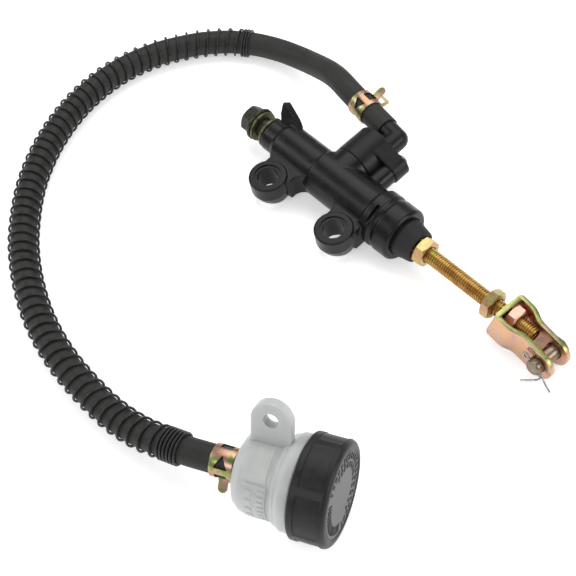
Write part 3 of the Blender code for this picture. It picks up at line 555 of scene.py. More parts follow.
HOSE_RADIUS = 6.3
HOSE_BORE = 4.4
UPPER_GRIP = (8.6, 35.3)                # along the elbow's outlet, from its bend
LOWER_GRIP = (0.9, 14.9)                # along the bottle's nozzle, from the bottle
GUARD_RADIUS = 7.2                      # to the middle of its wire
GUARD_WIRE = 0.62
GUARD_START = 113.0                     # along the hose, from the elbow
GUARD_END = 479.0
GUARD_PITCH = 5.8
TUBE_ROUTE = [
    (-0.0710, 0.0997, 0.0229), (-0.0773, 0.1008, 0.0231), (-0.0838, 0.1024, 0.0228),
    (-0.0900, 0.1039, 0.0218), (-0.0960, 0.1052, 0.0201), (-0.1020, 0.1064, 0.0179),
    (-0.1080, 0.1074, 0.0157), (-0.1140, 0.1081, 0.0136), (-0.1205, 0.1083, 0.0118),
    (-0.1275, 0.1078, 0.0104), (-0.1343, 0.1065, 0.0095), (-0.1414, 0.1042, 0.0088),
    (-0.1482, 0.1010, 0.0084), (-0.1544, 0.0970, 0.0081), (-0.1604, 0.0921, 0.0080),
    (-0.1672, 0.0839, 0.0080), (-0.1732, 0.0740, 0.0080), (-0.1801, 0.0570, 0.0080),
    (-0.1834, 0.0384, 0.0080), (-0.1827, 0.0204, 0.0080), (-0.1782, 0.0007, 0.0080),
    (-0.1692, -0.0203, 0.0080), (-0.1572, -0.0396, 0.0080), (-0.1425, -0.0571, 0.0080),
    (-0.1240, -0.0735, 0.0080), (-0.1092, -0.0839, 0.0080), (-0.0926, -0.0929, 0.0080),
    (-0.0752, -0.1001, 0.0080), (-0.0577, -0.1049, 0.0080), (-0.0405, -0.1075, 0.0080),
    (-0.0236, -0.1083, 0.0081), (-0.0105, -0.1081, 0.0085), (0.0014, -0.1071, 0.0102),
    (0.0127, -0.1052, 0.0129), (0.0237, -0.1018, 0.0157), (0.0318, -0.0988, 0.0169),
    (0.0397, -0.0952, 0.0179),
]


def smooth_route(route, spacing):
    """Evenly spaced points on a Catmull-Rom curve through the route's points."""
    corners = [Vector(point) for point in route]
    ends = [2 * corners[0] - corners[1]] + corners + [2 * corners[-1] - corners[-2]]
    fine = []
    for a, b, c, d in zip(ends, ends[1:], ends[2:], ends[3:]):
        for step in range(20):
            t = step / 20
            fine.append(0.5 * (2 * b + (c - a) * t + (2 * a - 5 * b + 4 * c - d) * t ** 2
                               + (3 * b - a - 3 * c + d) * t ** 3))
    fine.append(corners[-1])
    reach = [0.0]
    for before, after in zip(fine, fine[1:]):
        reach.append(reach[-1] + (after - before).length)
    count = round(reach[-1] / spacing)
    points = []
    index = 0
    for step in range(count + 1):
        wanted = reach[-1] * step / count
        while index < len(fine) - 2 and reach[index + 1] < wanted:
            index += 1
        share = (wanted - reach[index]) / (reach[index + 1] - reach[index])
        points.append(fine[index].lerp(fine[index + 1], share))
    return points


def hose_route():
    """The hose's whole centreline in millimetres, from the elbow to the bottle."""
    upper = [OUTLET @ Vector((MM * x, 0, 0)) for x in (UPPER_GRIP[0], 18, 27, UPPER_GRIP[1])]
    lower = [NOZZLE @ Vector((MM * x, 0, 0)) for x in (LOWER_GRIP[1], 8, LOWER_GRIP[0])]
    inner = [Vector(point) for point in TUBE_ROUTE[1:-1]]
    return smooth_route(upper + inner + lower, 2.5 * MM)


def length_of(points):
    return sum((after - before).length for before, after in zip(points, points[1:]))


def helix_angle(distance):
    """Angle of the guard's wire at a distance along the hose: a few close turns at each end."""
    close = 2.6 * GUARD_WIRE
    head = 3 * close
    tail = 6 * close
    total = GUARD_END - GUARD_START
    if distance < head:
        return 2 * math.pi * distance / close
    if distance < total - tail:
        return 2 * math.pi * (3 + (distance - head) / GUARD_PITCH)
    return 2 * math.pi * (3 + (total - tail - head) / GUARD_PITCH
                          + (distance - total + tail) / close)


def make_guard(path, material):
    """Coil of wire wound round the hose."""
    fine = [1000 * point for point in path]
    frames = sections(fine)
    spacing = length_of(fine) / (len(fine) - 1)
    points = []
    step = 0.0
    while step <= GUARD_END - GUARD_START:
        place = (GUARD_START + step) / spacing
        index = min(int(place), len(fine) - 2)
        share = place - index
        centre = fine[index].lerp(fine[index + 1], share)
        side = frames[index][0].lerp(frames[index + 1][0], share)
        up = frames[index][1].lerp(frames[index + 1][1], share)
        angle = helix_angle(step)
        points.append(centre + GUARD_RADIUS * (side * math.cos(angle) + up * math.sin(angle)))
        close = helix_angle(step + 0.05) - angle
        step += 0.05 * (2 * math.pi / 22) / close
    guard = sweep("spring_guard_coil", points, GUARD_WIRE, 8)
    return finish(guard, material, "guard_wire", "cylinder", "spring_guard")


def window(name, outline, angle):
    """Cutter for an opening in a clamp's band; its outline is (along the hose, across)."""
    cutter = prism(name, outline, 5.0, 9.0)
    cutter.data.transform(rotation(angle, "X"))
    return cutter


def bent_strip(name, path, width, thickness, hole=None):
    """Strip that follows a path of (across, out) points; a hole is (width, from, to) along it."""
    shape = bmesh.new()
    rows = []
    for index, point in enumerate(path):
        before = Vector(path[max(index - 1, 0)])
        after = Vector(path[min(index + 1, len(path) - 1)])
        along = (after - before).normalized()
        normal = Vector((-along.y, along.x)) * thickness / 2
        half = width[index] / 2
        rows.append([shape.verts.new((x, *(Vector(point) + side * normal)))
                     for x, side in ((-half, -1), (half, -1), (half, 1), (-half, 1))])
    strip = lofted(name, shape, rows)
    if hole:
        across, start, end = hole
        outline = [(-across / 2, -6), (across / 2, -6), (across / 2, 6), (-across / 2, 6)]
        combine(strip, prism(name + "_hole", outline, start, end))
    return strip


CLAMP_INNER = HOSE_RADIUS + 0.12
CLAMP_OUTER = CLAMP_INNER + 0.75
CLAMP_HALF = 5.2
UPPER_CLAMP_AT = 27.3                   # along the elbow's outlet, from its bend
LOWER_CLAMP_AT = -6.4                   # along the bottle
CLAMP_SQUARE = [(-2.7, -3.0), (2.7, -3.0), (2.7, 3.0), (-2.7, 3.0)]
CLAMP_TRIANGLE = [(-3.2, -2.9), (3.2, -2.9), (0.0, 3.1)]


def clamp_tabs(name):
    """The clamp's round-ended tongue and the windowed tab that it passes through."""
    reach = 11.6
    half = 2.1
    steps = (20, 40, 60, 75, 86)
    path = [(0.0, CLAMP_INNER + 0.3), (0.2, CLAMP_INNER + 1.6), (0.4, 9.4), (0.5, reach)]
    path += [(0.5, reach + half * math.sin(math.radians(a))) for a in steps]
    widths = [2 * half] * 4 + [2 * half * math.cos(math.radians(a)) for a in steps]
    tongue = bent_strip(name + "_tongue", path, widths, 0.75)
    tongue.data.transform(rotation(92, "X"))
    path = [(-0.3, CLAMP_INNER + 0.3), (-0.3, 8.0), (-0.2, 10.0), (0.1, 12.2)]
    loop = bent_strip(name + "_loop", path, [9.4, 9.4, 9.2, 8.8], 0.75, (5.8, 7.6, 10.8))
    loop.data.transform(rotation(118, "X"))
    return tongue, loop


def make_clamp(name, node, placement, turn, material):
    """Spring band clamp with its windows and tabs, about the X axis of its placement."""
    section = [(-CLAMP_HALF, CLAMP_INNER), (-CLAMP_HALF, CLAMP_OUTER), (CLAMP_HALF, CLAMP_OUTER),
               (CLAMP_HALF, CLAMP_INNER)]
    band = turned(name, rounded(section, 0.15, True, 2), 96, ring=True)
    for number, (outline, angle) in enumerate([(CLAMP_SQUARE, 57), (CLAMP_TRIANGLE, -17),
                                               (CLAMP_SQUARE, -97), (CLAMP_TRIANGLE, 170)]):
        shape = rounded(outline, 0.7, True)
        combine(band, window(f"{name}_window_{number}", shape, angle))
    for tab in clamp_tabs(name):
        combine(band, tab, "UNION")
    band.data.transform(placement @ rotation(turn, "X"))
    shade(band, 35)
    return finish(band, material, "yellow_zinc", "cylinder", node)


def make_hose(materials):
    path = hose_route()
    hose = sweep("rubber_hose", [1000 * point for point in path], HOSE_RADIUS, 40,
                 inner=HOSE_BORE)
    finish(hose, materials["hose"], "hose_rubber", "cylinder", "hose", "hose_end_upper",
           "hose_end_lower")
    guard = make_guard(path, materials["guard"])
    upper_at = OUTLET @ shift(UPPER_CLAMP_AT)
    upper = make_clamp("band_clamp_upper", "hose_clamp_upper", upper_at, -20, materials["zinc"])
    lower_at = BOTTLE @ shift(LOWER_CLAMP_AT)
    lower = make_clamp("band_clamp_lower", "hose_clamp_lower", lower_at, 71, materials["zinc"])


# ---------------------------------------------------------------- casting

LUG_STATIONS = (22.8, 69.8)
LUG_OFFSET = 22.8
LUG_RADIUS = 9.6
LUG_HOLE_RADIUS = 5.25
LUG_HOLE_DRAFT = 1.4                    # added to the hole's radius at its foot
INLET_STATION = 47
SCREW_STATION = 62.5
MOULD_VOXEL = 0.42
MOULD_SMOOTHING = 2


def lug_shapes():
    """Each lug is a boss on a neck; below the parting line it tapers towards its far end."""
    shapes = []
    for number, station in enumerate(LUG_STATIONS):
        side = 1 if number == 0 else -1
        neck = [(LUG_RADIUS, -18)] + arc((15.6, -16), 6, 180, 90, 10) + [(15.6, -3), (-8.6, -3),
                                                                      (-8.6, -18)]
        neck = [(station + side * x, y) for x, y in neck][::side]
        shapes.append(prism(f"lug_neck_{number}", neck, -7.9, 6.4))
        boss = circle(LUG_RADIUS, 64, (station, -LUG_OFFSET))
        shapes.append(prism(f"lug_boss_{number}", boss, -0.5, 7.9))
        shapes.append(tapered_boss(f"lug_foot_{number}", station))
    return shapes


def tapered_boss(name, station):
    """Lower half of a lug's boss, drawn in towards its foot."""
    shape = bmesh.new()
    rows = []
    for height, shrink, shift in ((0.5, 0.0, 0.0), (-1.2, 0.25, 0.1), (-4.5, 0.9, 0.8),
                                  (-7.0, 1.8, 1.6), (-7.9, 2.3, 2.0)):
        ring = circle(LUG_RADIUS - shrink, 64, (station, shift - LUG_OFFSET))
        rows.append([shape.verts.new((x, y, height)) for x, y in ring])
    return lofted(name, shape, rows)


def banjo_stop():
    outline = [(3.4, 6.0), (3.0, 10.0), (1.3, 13.0), (0.1, 17.0), (0.0, 18.6), (0.9, 19.0),
               (2.6, 18.4), (6.6, 16.6), (10.6, 14.9), (13.8, 12.8), (15.8, 10.2), (16.3, 6.0)]
    fin = prism("banjo_stop", outline, -2.4, 2.4)
    fin.data.transform(rotation(48, "X"))
    return fin


def turned_up(name, profile, station, sides=64):
    """Shape turned about the casting's +Y direction at a station along the bore."""
    shape = turned(name, profile, sides)
    shape.data.transform(along_y(station))
    return shape


def make_casting(materials):
    profile = [(0, 0), (0, 8.0), (0.7, 8.7), (7.8, 8.7), (10.6, 11.4), (36.6, 11.4), (37.4, 12.4),
               (75.0, 12.4), (76.4, 14.1), (82.2, 14.2), (83.0, 13.0), (84.6, 13.0), (85.4, 14.1),
               (93.9, 14.0), (95.1, 12.9), (95.1, 0)]
    shapes = [turned("barrel", profile, 96)] + lug_shapes() + [banjo_stop()]
    shapes.append(turned_up("inlet_boss", plug(4, 12.3, 12), INLET_STATION))
    shapes.append(turned_up("screw_boss", plug(4, 21.8, 5.5), SCREW_STATION))
    body = moulded("cast_body", shapes, MOULD_VOXEL, MOULD_SMOOTHING)
    combine(body, turned_up("dome_room", plug(12.2, 25, 12.3), INLET_STATION))
    spigot = [(9.5, 0), (9.5, 8.3), (18.6, 8.3), (19, 7.9), (19, 0)]
    combine(body, turned_up("inlet_spigot", spigot, INLET_STATION), "UNION")
    cutters = [
        turned_up("well", plug(9.4, 22, 6.3), INLET_STATION, 48),
        turned_up("screw_hole", plug(11, 24, 2.2), SCREW_STATION, 24),
    ]
    for station in LUG_STATIONS:
        hole = turned("lug_hole", [(-9.3, 0), (-9.3, LUG_HOLE_RADIUS + LUG_HOLE_DRAFT),
                                   (9.2, LUG_HOLE_RADIUS), (9.2, 0)], 61)
        hole.data.transform(Matrix.Translation((station * MM, -LUG_OFFSET * MM, 0))
                            @ rotation(-90, "Y"))
        cutters.append(hole)
        cutters.append(prism("lug_sink", circle(6.9, 64, (station, -LUG_OFFSET)), 7.3, 16))
        cutters.append(prism("lug_face", circle(13, 64, (station, -LUG_OFFSET)), -16, -8.0))
    inside = [(-2.0, 0), (-2.0, 5.15), (13.0, 5.15), (14.5, 2.2), (18.5, 2.2), (18.5, 6.4),
              (84.0, 6.4), (84.0, 9.0), (86.9, 9.0), (86.9, 10.0), (88.6, 10.0), (88.6, 9.0),
              (89.0, 9.0), (89.0, 10.5), (97.0, 10.5), (97.0, 0)]
    cutters.append(turned("bore", inside, 96))
    for cutter in cutters:
        combine(body, cutter)
    slot = prism("drain_slot", rounded([(79.6, -8), (81.4, -8), (81.4, 3.5), (79.6, 3.5)], 0.7, True),
                 12, 22)
    slot.data.transform(rotation(20, "X"))
    combine(body, slot)
    body.data.transform(CASTING)
    shade(body, 40)
    finish(body, materials["paint"], "body_black", "cylinder", "cylinder_body")


# ---------------------------------------------------------------- outlet

def hex_bar(name, across, start, end, turn=0.0, chamfer=0.93):
    """Hexagonal bar along X whose corners are turned off at both ends."""
    corner = across / math.sqrt(3)
    outline = circle(corner, 6, start=math.radians(turn))
    bar = prism(name, outline, start, end)
    bar.data.transform(FACING_ALONG_X)
    flat = chamfer * across / 2
    slope = (corner + 0.1 - flat) * math.tan(math.radians(28))
    cone = turned(name + "_cone", [(start, 0), (start, flat), (start + slope, corner + 0.1),
                                   (end - slope, corner + 0.1), (end, flat), (end, 0)], 96)
    return combine(bar, cone, "INTERSECT")


def make_banjo_bolt(materials):
    head = hex_bar("banjo_bolt_body", 12.8, -17.4, -10.2, 8, 0.9)
    profile = [(-11.2, 0), (-11.2, 7.6), (-10.7, 8.5), (-10.2, 8.8), (-9.0, 8.8), (-8.6, 8.5),
               (-8.6, 5.0), (-2.2, 5.0)]
    for turn in range(11):
        near = -1.9 + turn * 1.25
        profile += [(near, 4.9), (near + 0.55, 4.35), (near + 0.7, 4.35)]
    profile += [(12.0, 4.1), (12.0, 0)]
    combine(head, turned("bolt_shank", profile, 72), "UNION")
    combine(head, turned("bolt_drilling", plug(-6.0, 14, 1.6), 24))
    cross = turned("cross_drilling", plug(-7, 7, 1.2), 24)
    cross.data.transform(shift(-4.6) @ rotation(-75, "X") @ rotation(90, "Y"))
    combine(head, cross)
    head.data.transform(CASTING)
    shade(head, 30)
    finish(head, materials["bolt"], "bolt_black", "cylinder", "banjo_bolt")


def make_washers(materials):
    for name, node, start in (("sealing_washer_outer", "banjo_washer_outer", -8.3),
                              ("sealing_washer_inner", "banjo_washer_inner", -1.8)):
        profile = rounded([(start, 5.2), (start, 8.3), (start + 1.5, 8.3), (start + 1.5, 5.2)],
                          0.3, True, 3)
        washer = turned(name, profile, 72, ring=True, placement=CASTING)
        finish(washer, materials["olive"], "washer_olive", "cylinder", node)


# ---------------------------------------------------------------- inlet

def make_elbow(materials):
    base = [(12.5, 0), (12.5, 12.0), (29.4, 12.0), (30.5, 11.5), (31.0, 10.2), (31.2, 7.0),
            (31.2, 0)]
    shapes = [turned_up("dome", base, INLET_STATION, 96)]
    ear = [(51.2, -11.0)] + arc((SCREW_STATION, 0), 6.2, -68, 68, 20) + [(51.2, 11.0)]
    shapes.append(prism_along_y("ear", ear, -30, -21))
    radius = 5.6
    start = ELBOW_BEND.x
    shapes.append(turned_up("stem", plug(26, ELBOW_BEND.y, radius), start))
    ball = turned("corner", [(-radius, 0)] + arc((0, 0), radius, 180, 0, 24)[1:-1]
                  + [(radius, 0)], 48)
    ball.data.transform(Matrix.Translation(MM * ELBOW_BEND))
    shapes.append(ball)
    outlet = turned("outlet", [(0, 0), (0, radius), (8.3, radius), (8.3, 3.6), (26.3, 3.6),
                               (26.3, 0)], 48)
    outlet.data.transform(ELBOW_OUTLET)
    shapes.append(outlet)
    elbow = moulded("elbow_fitting", shapes, MOULD_VOXEL, MOULD_SMOOTHING)
    combine(elbow, turned_up("cavity", plug(10, 20.5, 10.45), INLET_STATION))
    combine(elbow, turned_up("ear_hole", plug(18, 34, 2.3), SCREW_STATION, 24))
    passage = turned("passage", plug(-0.5, 60, 2.5), 24)
    passage.data.transform(ELBOW_OUTLET)
    combine(elbow, passage)
    elbow.data.transform(CASTING)
    shade(elbow, 40)
    finish(elbow, materials["moulded"], "moulded_black", "cylinder", "inlet_elbow")


def make_elbow_screw(materials):
    profile = [(13.0, 0), (13.0, 1.5), (14.0, 1.9), (30.3, 1.9), (30.3, 3.3), (31.2, 3.3),
               (31.9, 3.0), (32.4, 2.4), (32.7, 1.4), (32.8, 0)]
    screw = turned("ear_screw", profile, 48)
    for number in range(2):
        recess = prism("recess", rounded([(-2.1, -0.45), (2.1, -0.45), (2.1, 0.45), (-2.1, 0.45)],
                                         0.2, True), 31.3, 34)
        recess.data.transform(rotation(90, "Y") @ rotation(90 * number + 20, "Z"))
        combine(screw, recess)
    screw.data.transform(CASTING @ along_y(SCREW_STATION))
    shade(screw, 35)
    finish(screw, materials["steel"], "bright_steel", "cylinder", "elbow_screw")


# ---------------------------------------------------------------- rod end

ROD_RADIUS = 3.95
THREAD_PITCH = 1.25
THREAD_DEPTH = 0.62
THREAD = (98.0, 176.2)
THREAD_SEGMENTS = 36
NUT_ACROSS_FLATS = 13.0


def threaded(name, start, end, radius, pitch, depth):
    """Screw thread along X, built as one helical skin with closed ends."""
    shape = bmesh.new()
    segments = THREAD_SEGMENTS
    steps = round((end - start) / pitch * segments)
    section = [(0.0, 0.0), (0.12, 0.0), (0.46, 1.0), (0.58, 1.0), (0.92, 0.0)]
    rows = []
    for step in range(-segments, steps + 1):
        angle = 2 * math.pi * step / segments
        base = start + pitch * step / segments
        row = []
        for along, drop in section:
            station = base + along * pitch
            fade = min(1.0, max(0.0, (end - station) / pitch))
            deep = radius - depth * drop
            if station > end - pitch:
                deep = min(deep, radius - depth * (1 - fade) * 0.8)
            station = min(max(station, start), end)
            row.append((station, deep * math.cos(angle), deep * math.sin(angle)))
        rows.append([shape.verts.new(co) for co in row])
    for first, second in zip(rows, rows[1:]):
        for index in range(len(section) - 1):
            shape.faces.new([first[index], first[index + 1], second[index + 1], second[index]])
    count = len(section)
    for index in range(len(rows) - segments):
        first = rows[index]
        second = rows[index + 1]
        after = index + segments
        if after + 1 < len(rows):
            shape.faces.new([first[count - 1], rows[after][0], rows[after + 1][0],
                             second[count - 1]])
    bmesh.ops.remove_doubles(shape, verts=shape.verts, dist=1e-4)
    bmesh.ops.dissolve_degenerate(shape, edges=shape.edges, dist=1e-4)
    loose = [edge for edge in shape.edges if len(edge.link_faces) == 1]
    bmesh.ops.holes_fill(shape, edges=loose, sides=0)
    return from_bmesh(name, shape, None, 50)


def make_pushrod(materials):
    ball = arc((77.5, 0), 4.0, 180, 50, 24)
    profile = [(73.5, 0)] + ball[1:] + [(81.6, 3.1), (82.0, 5.5), (84.9, 5.5), (84.9, 3.4),
                                        (98.6, 3.35), (98.6, 0)]
    rod = turned("rod_ball_end", profile, 64, placement=Matrix.Translation(CASTING.translation))
    finish(rod, materials["zinc"], "yellow_zinc", "pushrod", "pushrod")
    thread = threaded("rod_thread", THREAD[0], THREAD[1], ROD_RADIUS, THREAD_PITCH, THREAD_DEPTH)
    thread.data.transform(Matrix.Translation(CASTING.translation))
    finish(thread, materials["gold"], "yellow_zinc", "pushrod")


def make_nut(name, node, start, end, turn, body, material):
    nut = hex_bar(name, NUT_ACROSS_FLATS, start, end, turn)
    combine(nut, turned("nut_bore", [(start - 1, 0), (start - 1, 5.0), (start + 0.8, 4.15),
                                     (end - 0.8, 4.15), (end + 1, 5.0), (end + 1, 0)], 48))
    nut.data.transform(Matrix.Translation(CASTING.translation))
    shade(nut, 25)
    finish(nut, material, "yellow_zinc", body, node)


def make_nuts(materials):
    make_nut("nut_at_boot", "boot_nut", 105.5, 111.0, 10, "pushrod", materials["nut"])
    make_nut("nut_at_clevis", "lock_nut", 148.2, 153.4, 27, "pushrod", materials["nut"])
    make_nut("nut_in_clevis", "clevis_nut", 161.8, 167.0, 0, "clevis_swivel",
             materials["orange"])


def make_boot(materials):
    profile = [(89.3, 7.2), (89.3, 10.0), (95.4, 10.0), (96.2, 10.3), (97.2, 10.2), (100.0, 9.3),
               (103.4, 8.7), (104.6, 8.4), (105.0, 7.9), (105.0, 6.9), (104.2, 5.6), (103.6, 4.4),
               (102.4, 4.4), (101.6, 6.8), (96.0, 8.3), (92.0, 7.6)]
    boot = turned("rubber_boot", rounded(profile, 0.5, True, 3), 72, ring=True, placement=CASTING)
    finish(boot, materials["rubber"], "rubber_black", "cylinder", "dust_boot")
    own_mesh(boot)


STRIP = 2.4
STRIP_HALF_WIDTH = 7.5
EAR_END = 36.5
PIN_STATION = 28.5
PIN_TURN = 17                           # degrees
COTTER_AT = -8.8                        # along the pin, from the middle of the fork


def strip_side(offset):
    """One side of the bent strip's outline: a box that narrows to a parallel ear."""
    box = 9.6 - offset
    ear = 6.75 - offset
    lean = offset * 0.3
    return [(EAR_END, ear), (18.0 - lean, ear), (15.4 - lean, ear + 0.3), (11.0 - lean, box - 0.5),
            (8.8 - lean, box), (5.0, box)]


def make_clevis(materials):
    outer = strip_side(0) + arc((2.6, 7.0), 2.6, 90, 180, 8)[1:]
    inner = strip_side(STRIP) + [(STRIP + 0.6, 7.2), (STRIP, 6.6)]
    half = outer + [(x, -y) for x, y in reversed(outer)]
    hollow = inner + [(x, -y) for x, y in reversed(inner)]
    clevis = prism("clevis_strip", rounded(half + hollow[::-1], 0.8, True, 3),
                   -STRIP_HALF_WIDTH, STRIP_HALF_WIDTH)
    side = [(-1, -STRIP_HALF_WIDTH + 0.01)]
    side += arc((EAR_END - STRIP_HALF_WIDTH, 0), STRIP_HALF_WIDTH - 0.01, -90, 90, 40)
    side += [(-1, STRIP_HALF_WIDTH - 0.01)]
    combine(clevis, prism_along_y("ear_ends", side, -20, 20), "INTERSECT")
    hole = circle(4.2, 48, (PIN_STATION, 0))
    combine(clevis, prism_along_y("pin_hole", hole, -20, 20))
    combine(clevis, turned("rod_hole", plug(-2, 5, 4.65), 48))
    bevelled(clevis, 0.3, 2, 50)
    clevis.data.transform(CLEVIS)
    finish(clevis, materials["clevis"], "yellow_zinc", "clevis", "clevis")


def make_clevis_pin(materials):
    profile = rounded([(-10.6, 0), (-10.6, 3.2), (-9.9, 3.9), (7.05, 3.9), (7.05, 6.0),
                       (8.3, 6.0), (8.9, 5.2), (8.9, 0)], 0.25)
    pin = turned("fork_pin", profile, 64)
    cross = turned("cotter_hole", plug(-6, 6, 1.2), 24)
    cross.data.transform(shift(COTTER_AT) @ rotation(90, "Z"))
    combine(pin, cross)
    pin.data.transform(CLEVIS @ shift(PIN_STATION)
                       @ rotation(PIN_TURN, "Y") @ rotation(90, "Z"))
    shade(pin, 35)
    finish(pin, materials["pin"], "yellow_zinc", "clevis_pin", "clevis_pin")


def make_cotter(materials):
    """Split pin: an eye, two legs side by side, and their ends bent away from each other."""
    loop = arc((-6.4, 0), 1.5, 22, 338, 24)
    upper = [(4.4, 0.5), (0.0, 0.5), (-4.0, 0.5)]
    lower = [(-4.0, -0.5), (0.0, -0.5), (4.4, -0.5)]
    turn = rotation(PIN_TURN, "Y")
    shank = [turn @ Vector((x, 0, z)) for x, z in upper + loop + lower]
    forward = [Vector(point) for point in ((12.6, -1.2, -4.0), (9.2, -0.8, -2.9), (6.4, -0.3, -1.8))]
    sideways = [Vector(point) for point in ((5.2, -0.9, -2.4), (4.6, -2.6, -2.6), (2.6, -5.6, -2.4),
                                            (0.2, -9.0, -2.0))]
    wire = sweep("split_pin", smooth_route(forward + shank + sideways, 0.35), 0.5, 12)
    wire.data.transform(CLEVIS @ Matrix.Translation((PIN_STATION * MM, COTTER_AT * MM, 0)))
    finish(wire, materials["steel"], "bright_steel", "clevis_pin", "cotter_pin")


# ---------------------------------------------------------------- reservoir

BOTTLE_EAR = (14.0, 29.0)               # its round end's centre, along the bottle and out from it
BOTTLE_EAR_RADIUS = 8.8
BOTTLE_EAR_HALF_THICKNESS = 2.5
BOTTLE_EAR_HOLE = (14.0, 29.4)
BOTTLE_EAR_HOLE_RADIUS = 3.4
CAP_RECESSES = 6
CAP_FACE = 44.75


def make_bottle(materials):
    """Moulded bottle: barb, rounded bottom, two shallow rings, collar, neck, ear and panel."""
    outer = [(0.0, 7.0), (0.6, 11.6), (2.4, 15.4), (5.4, 17.5), (8.0, 18.0), (19.4, 18.0),
             (20.2, 18.3), (20.8, 19.4), (21.6, 19.7), (22.4, 19.7), (23.0, 20.2), (24.0, 20.9),
             (28.0, 20.9), (28.6, 20.2), (40.1, 20.2)]
    inner = [(40.1, 18.2), (22.8, 18.2), (20.9, 16.4), (8.2, 16.2), (5.8, 15.6), (3.8, 13.6),
             (2.5, 10.5), (2.0, 6.0), (2.0, 2.2), (-13.6, 2.2)]
    barb = [(-13.6, 3.1), (-9.6, 4.0), (-9.6, 3.6), (-7.4, 3.6), (-3.6, 4.0), (-3.6, 3.6),
            (-0.6, 3.6), (-0.3, 4.6)]
    bottle = turned("milky_bottle", rounded(barb + outer + inner, 0.5, True, 3), 112, ring=True)
    rise = 17.0
    rim = arc(BOTTLE_EAR, BOTTLE_EAR_RADIUS, 0, 180, 36)
    outline = [(rim[0][0], rise)] + rim + [(rim[-1][0], rise)]
    ear = prism_along_y("ear", outline, -BOTTLE_EAR_HALF_THICKNESS, BOTTLE_EAR_HALF_THICKNESS)
    bevelled(ear, 0.5, 3)
    combine(bottle, ear, "UNION")
    hole = circle(BOTTLE_EAR_HOLE_RADIUS, 48, BOTTLE_EAR_HOLE)
    combine(bottle, prism_along_y("hole", hole, -10, 10))
    for panel in bottle_panels():
        combine(bottle, panel, "UNION")
    bottle.data.transform(BOTTLE)
    shade(bottle, 30)
    finish(bottle, materials["milky"], "milky_plastic", "cylinder", "reservoir_body")


def wall_patch(name, stations, angles, low, high):
    """Curved block on the bottle's wall between two stations and two angles, in degrees."""
    shape = bmesh.new()
    rows = []
    steps = max(2, round(abs(angles[1] - angles[0]) / 4))
    for step in range(steps + 1):
        angle = math.radians(angles[0] + (angles[1] - angles[0]) * step / steps)
        rows.append([shape.verts.new((x, r * math.cos(angle), r * math.sin(angle)))
                     for x, r in ((stations[0], low), (stations[1], low), (stations[1], high),
                                  (stations[0], high))])
    return lofted(name, shape, rows)


def bottle_panels():
    """Raised label panel on the bottle's side, with two columns of faint level lines."""
    panels = [wall_patch("panel", (8.6, 18.4), (156, 230), 17.2, 18.4),
              wall_patch("upper_panel", (10.4, 17.6), (106, 152), 17.2, 18.25)]
    for number in range(7):
        angle = 162 + 8.0 * number
        panels.append(wall_patch(f"tick_{number}", (15.0, 17.6), (angle, angle + 3.5), 17.6, 18.75))
    for number in range(4):
        angle = 164 + 14.0 * number
        panels.append(wall_patch(f"block_{number}", (9.8, 12.4), (angle, angle + 8.0), 17.6, 18.7))
    return panels


def raised_marks(name, radius, width, span, count, fill, top):
    """Raised bars of uneven length along an arc of the cap's face, in place of its lettering."""
    bars = []
    pitch = (span[1] - span[0]) / count
    for number in range(count):
        reach = 0.5 * fill * pitch * (0.6 + 0.4 * math.sin(2.4 * number) ** 2)
        middle = span[0] + pitch * (number + 0.5)
        inside = arc((0, 0), radius - width / 2, middle - reach, middle + reach, 5)
        outside = arc((0, 0), radius + width / 2, middle + reach, middle - reach, 5)
        bar = prism(f"{name}_{number}", inside + outside, top - 0.4, top + 0.25)
        bar.data.transform(FACING_ALONG_X)
        bars.append(bar)
    return bars


def grip_recess(number):
    """Cutter for one of the wide shallow recesses in the cap's side."""
    shape = bmesh.new()
    rows = []
    for step in range(-6, 7):
        angle = math.radians(360 / CAP_RECESSES * number + 56 + 26.0 * step / 6)
        floor = 22.45 + (0.3 if abs(step) == 6 else 0.0)
        rows.append([shape.verts.new((x, r * math.cos(angle), r * math.sin(angle)))
                     for x, r in ((31.6, 23.4), (31.9, floor), (42.2, floor), (42.6, 23.4))])
    return lofted("grip_recess", shape, rows)


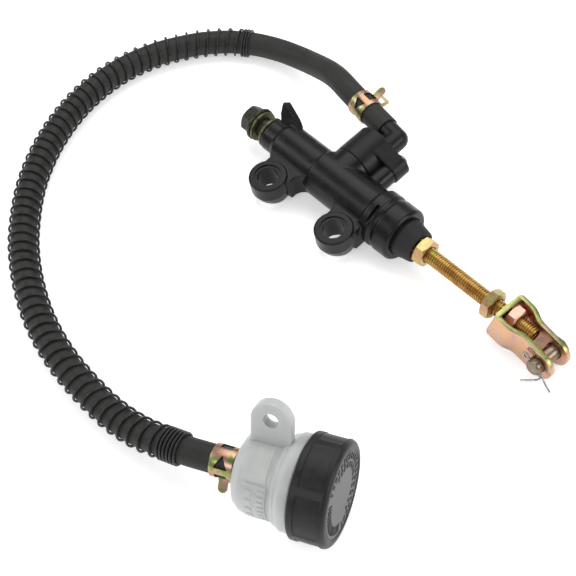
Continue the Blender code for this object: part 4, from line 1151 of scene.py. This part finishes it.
def make_cap(materials):
    profile = [(28.7, 20.7), (28.7, 22.2), (29.1, 22.6), (29.4, 22.8), (42.9, 22.8), (44.1, 22.3),
               (44.9, 21.3), (45.1, 20.2), (45.1, 19.2), (44.8, 18.7), (44.6, 18.4), (44.6, 0)]
    cap = turned("screw_cap", [(28.7, 0)] + rounded(profile, 0.5, False, 4), 160)
    combine(cap, turned("cap_hollow", plug(20, 42.9, 20.6), 96))
    for number in range(CAP_RECESSES):
        combine(cap, grip_recess(number))
    cap.data.transform(BOTTLE)
    shade(cap, 35)
    finish(cap, materials["cap"], "moulded_black", "cap", "reservoir_cap")
    # the face disc takes the lighter copy of the black plastic, painted light on the cap's face
    face = turned("painted_lit_cap_face", plug(44.2, CAP_FACE, 18.2), 128,
                  placement=BOTTLE)
    finish(face, materials["painted_lit_cap_face"], "moulded_black", "cap")
    marks = raised_marks("outer_mark", 16.4, 2.7, (-92, 148), 22, 0.62, CAP_FACE)
    marks += raised_marks("inner_mark", 12.9, 2.4, (-70, 120), 13, 0.6, CAP_FACE)
    marks += raised_marks("band_mark", 15.0, 3.8, (158, 260), 15, 0.7, CAP_FACE)
    ring = joined("cap_face_marks", marks)
    ring.data.transform(BOTTLE)
    finish(ring, materials["mark"], "moulded_black", "cap")


# ---------------------------------------------------------------- hidden pieces

def finish_hidden(materials):
    """CAD pieces inside the casting and under the cap keep their shape and get a material."""
    for node, key in (("elbow_o_ring", "rubber"), ("primary_cup", "rubber"),
                      ("secondary_cup", "rubber"), ("piston", "aluminium"),
                      ("pushrod_washer", "zinc"), ("circlip", "steel"),
                      ("diaphragm", "rubber"), ("diaphragm_plate", "moulded")):
        mesh = frame["nodes"][node].data
        mesh.materials.clear()
        mesh.materials.append(materials[key])


def make_return_spring(materials):
    turns = 6.5
    count = round(turns * 36)
    start = 19.5
    end = 43.0
    points = []
    for step in range(count + 1):
        share = step / count
        eased = share + 0.06 * math.sin(4 * math.pi * share) / (4 * math.pi)
        angle = 2 * math.pi * turns * share
        points.append(Vector((start + (end - start) * eased, 4.9 * math.cos(angle),
                              4.9 * math.sin(angle))))
    spring = sweep("piston_spring", points, 0.6, 10, placement=CASTING)
    finish(spring, materials["steel"], "bright_steel", "cylinder", "return_spring")
    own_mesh(spring)


# ---------------------------------------------------------------- all of it

def main():
    make_camera()
    make_studio()
    materials = make_materials()
    make_hose(materials)
    make_casting(materials)
    make_banjo_bolt(materials)
    make_washers(materials)
    make_elbow(materials)
    make_elbow_screw(materials)
    make_return_spring(materials)
    make_boot(materials)
    make_pushrod(materials)
    make_nuts(materials)
    make_clevis(materials)
    make_clevis_pin(materials)
    make_cotter(materials)
    make_bottle(materials)
    make_cap(materials)
    finish_hidden(materials)


main()
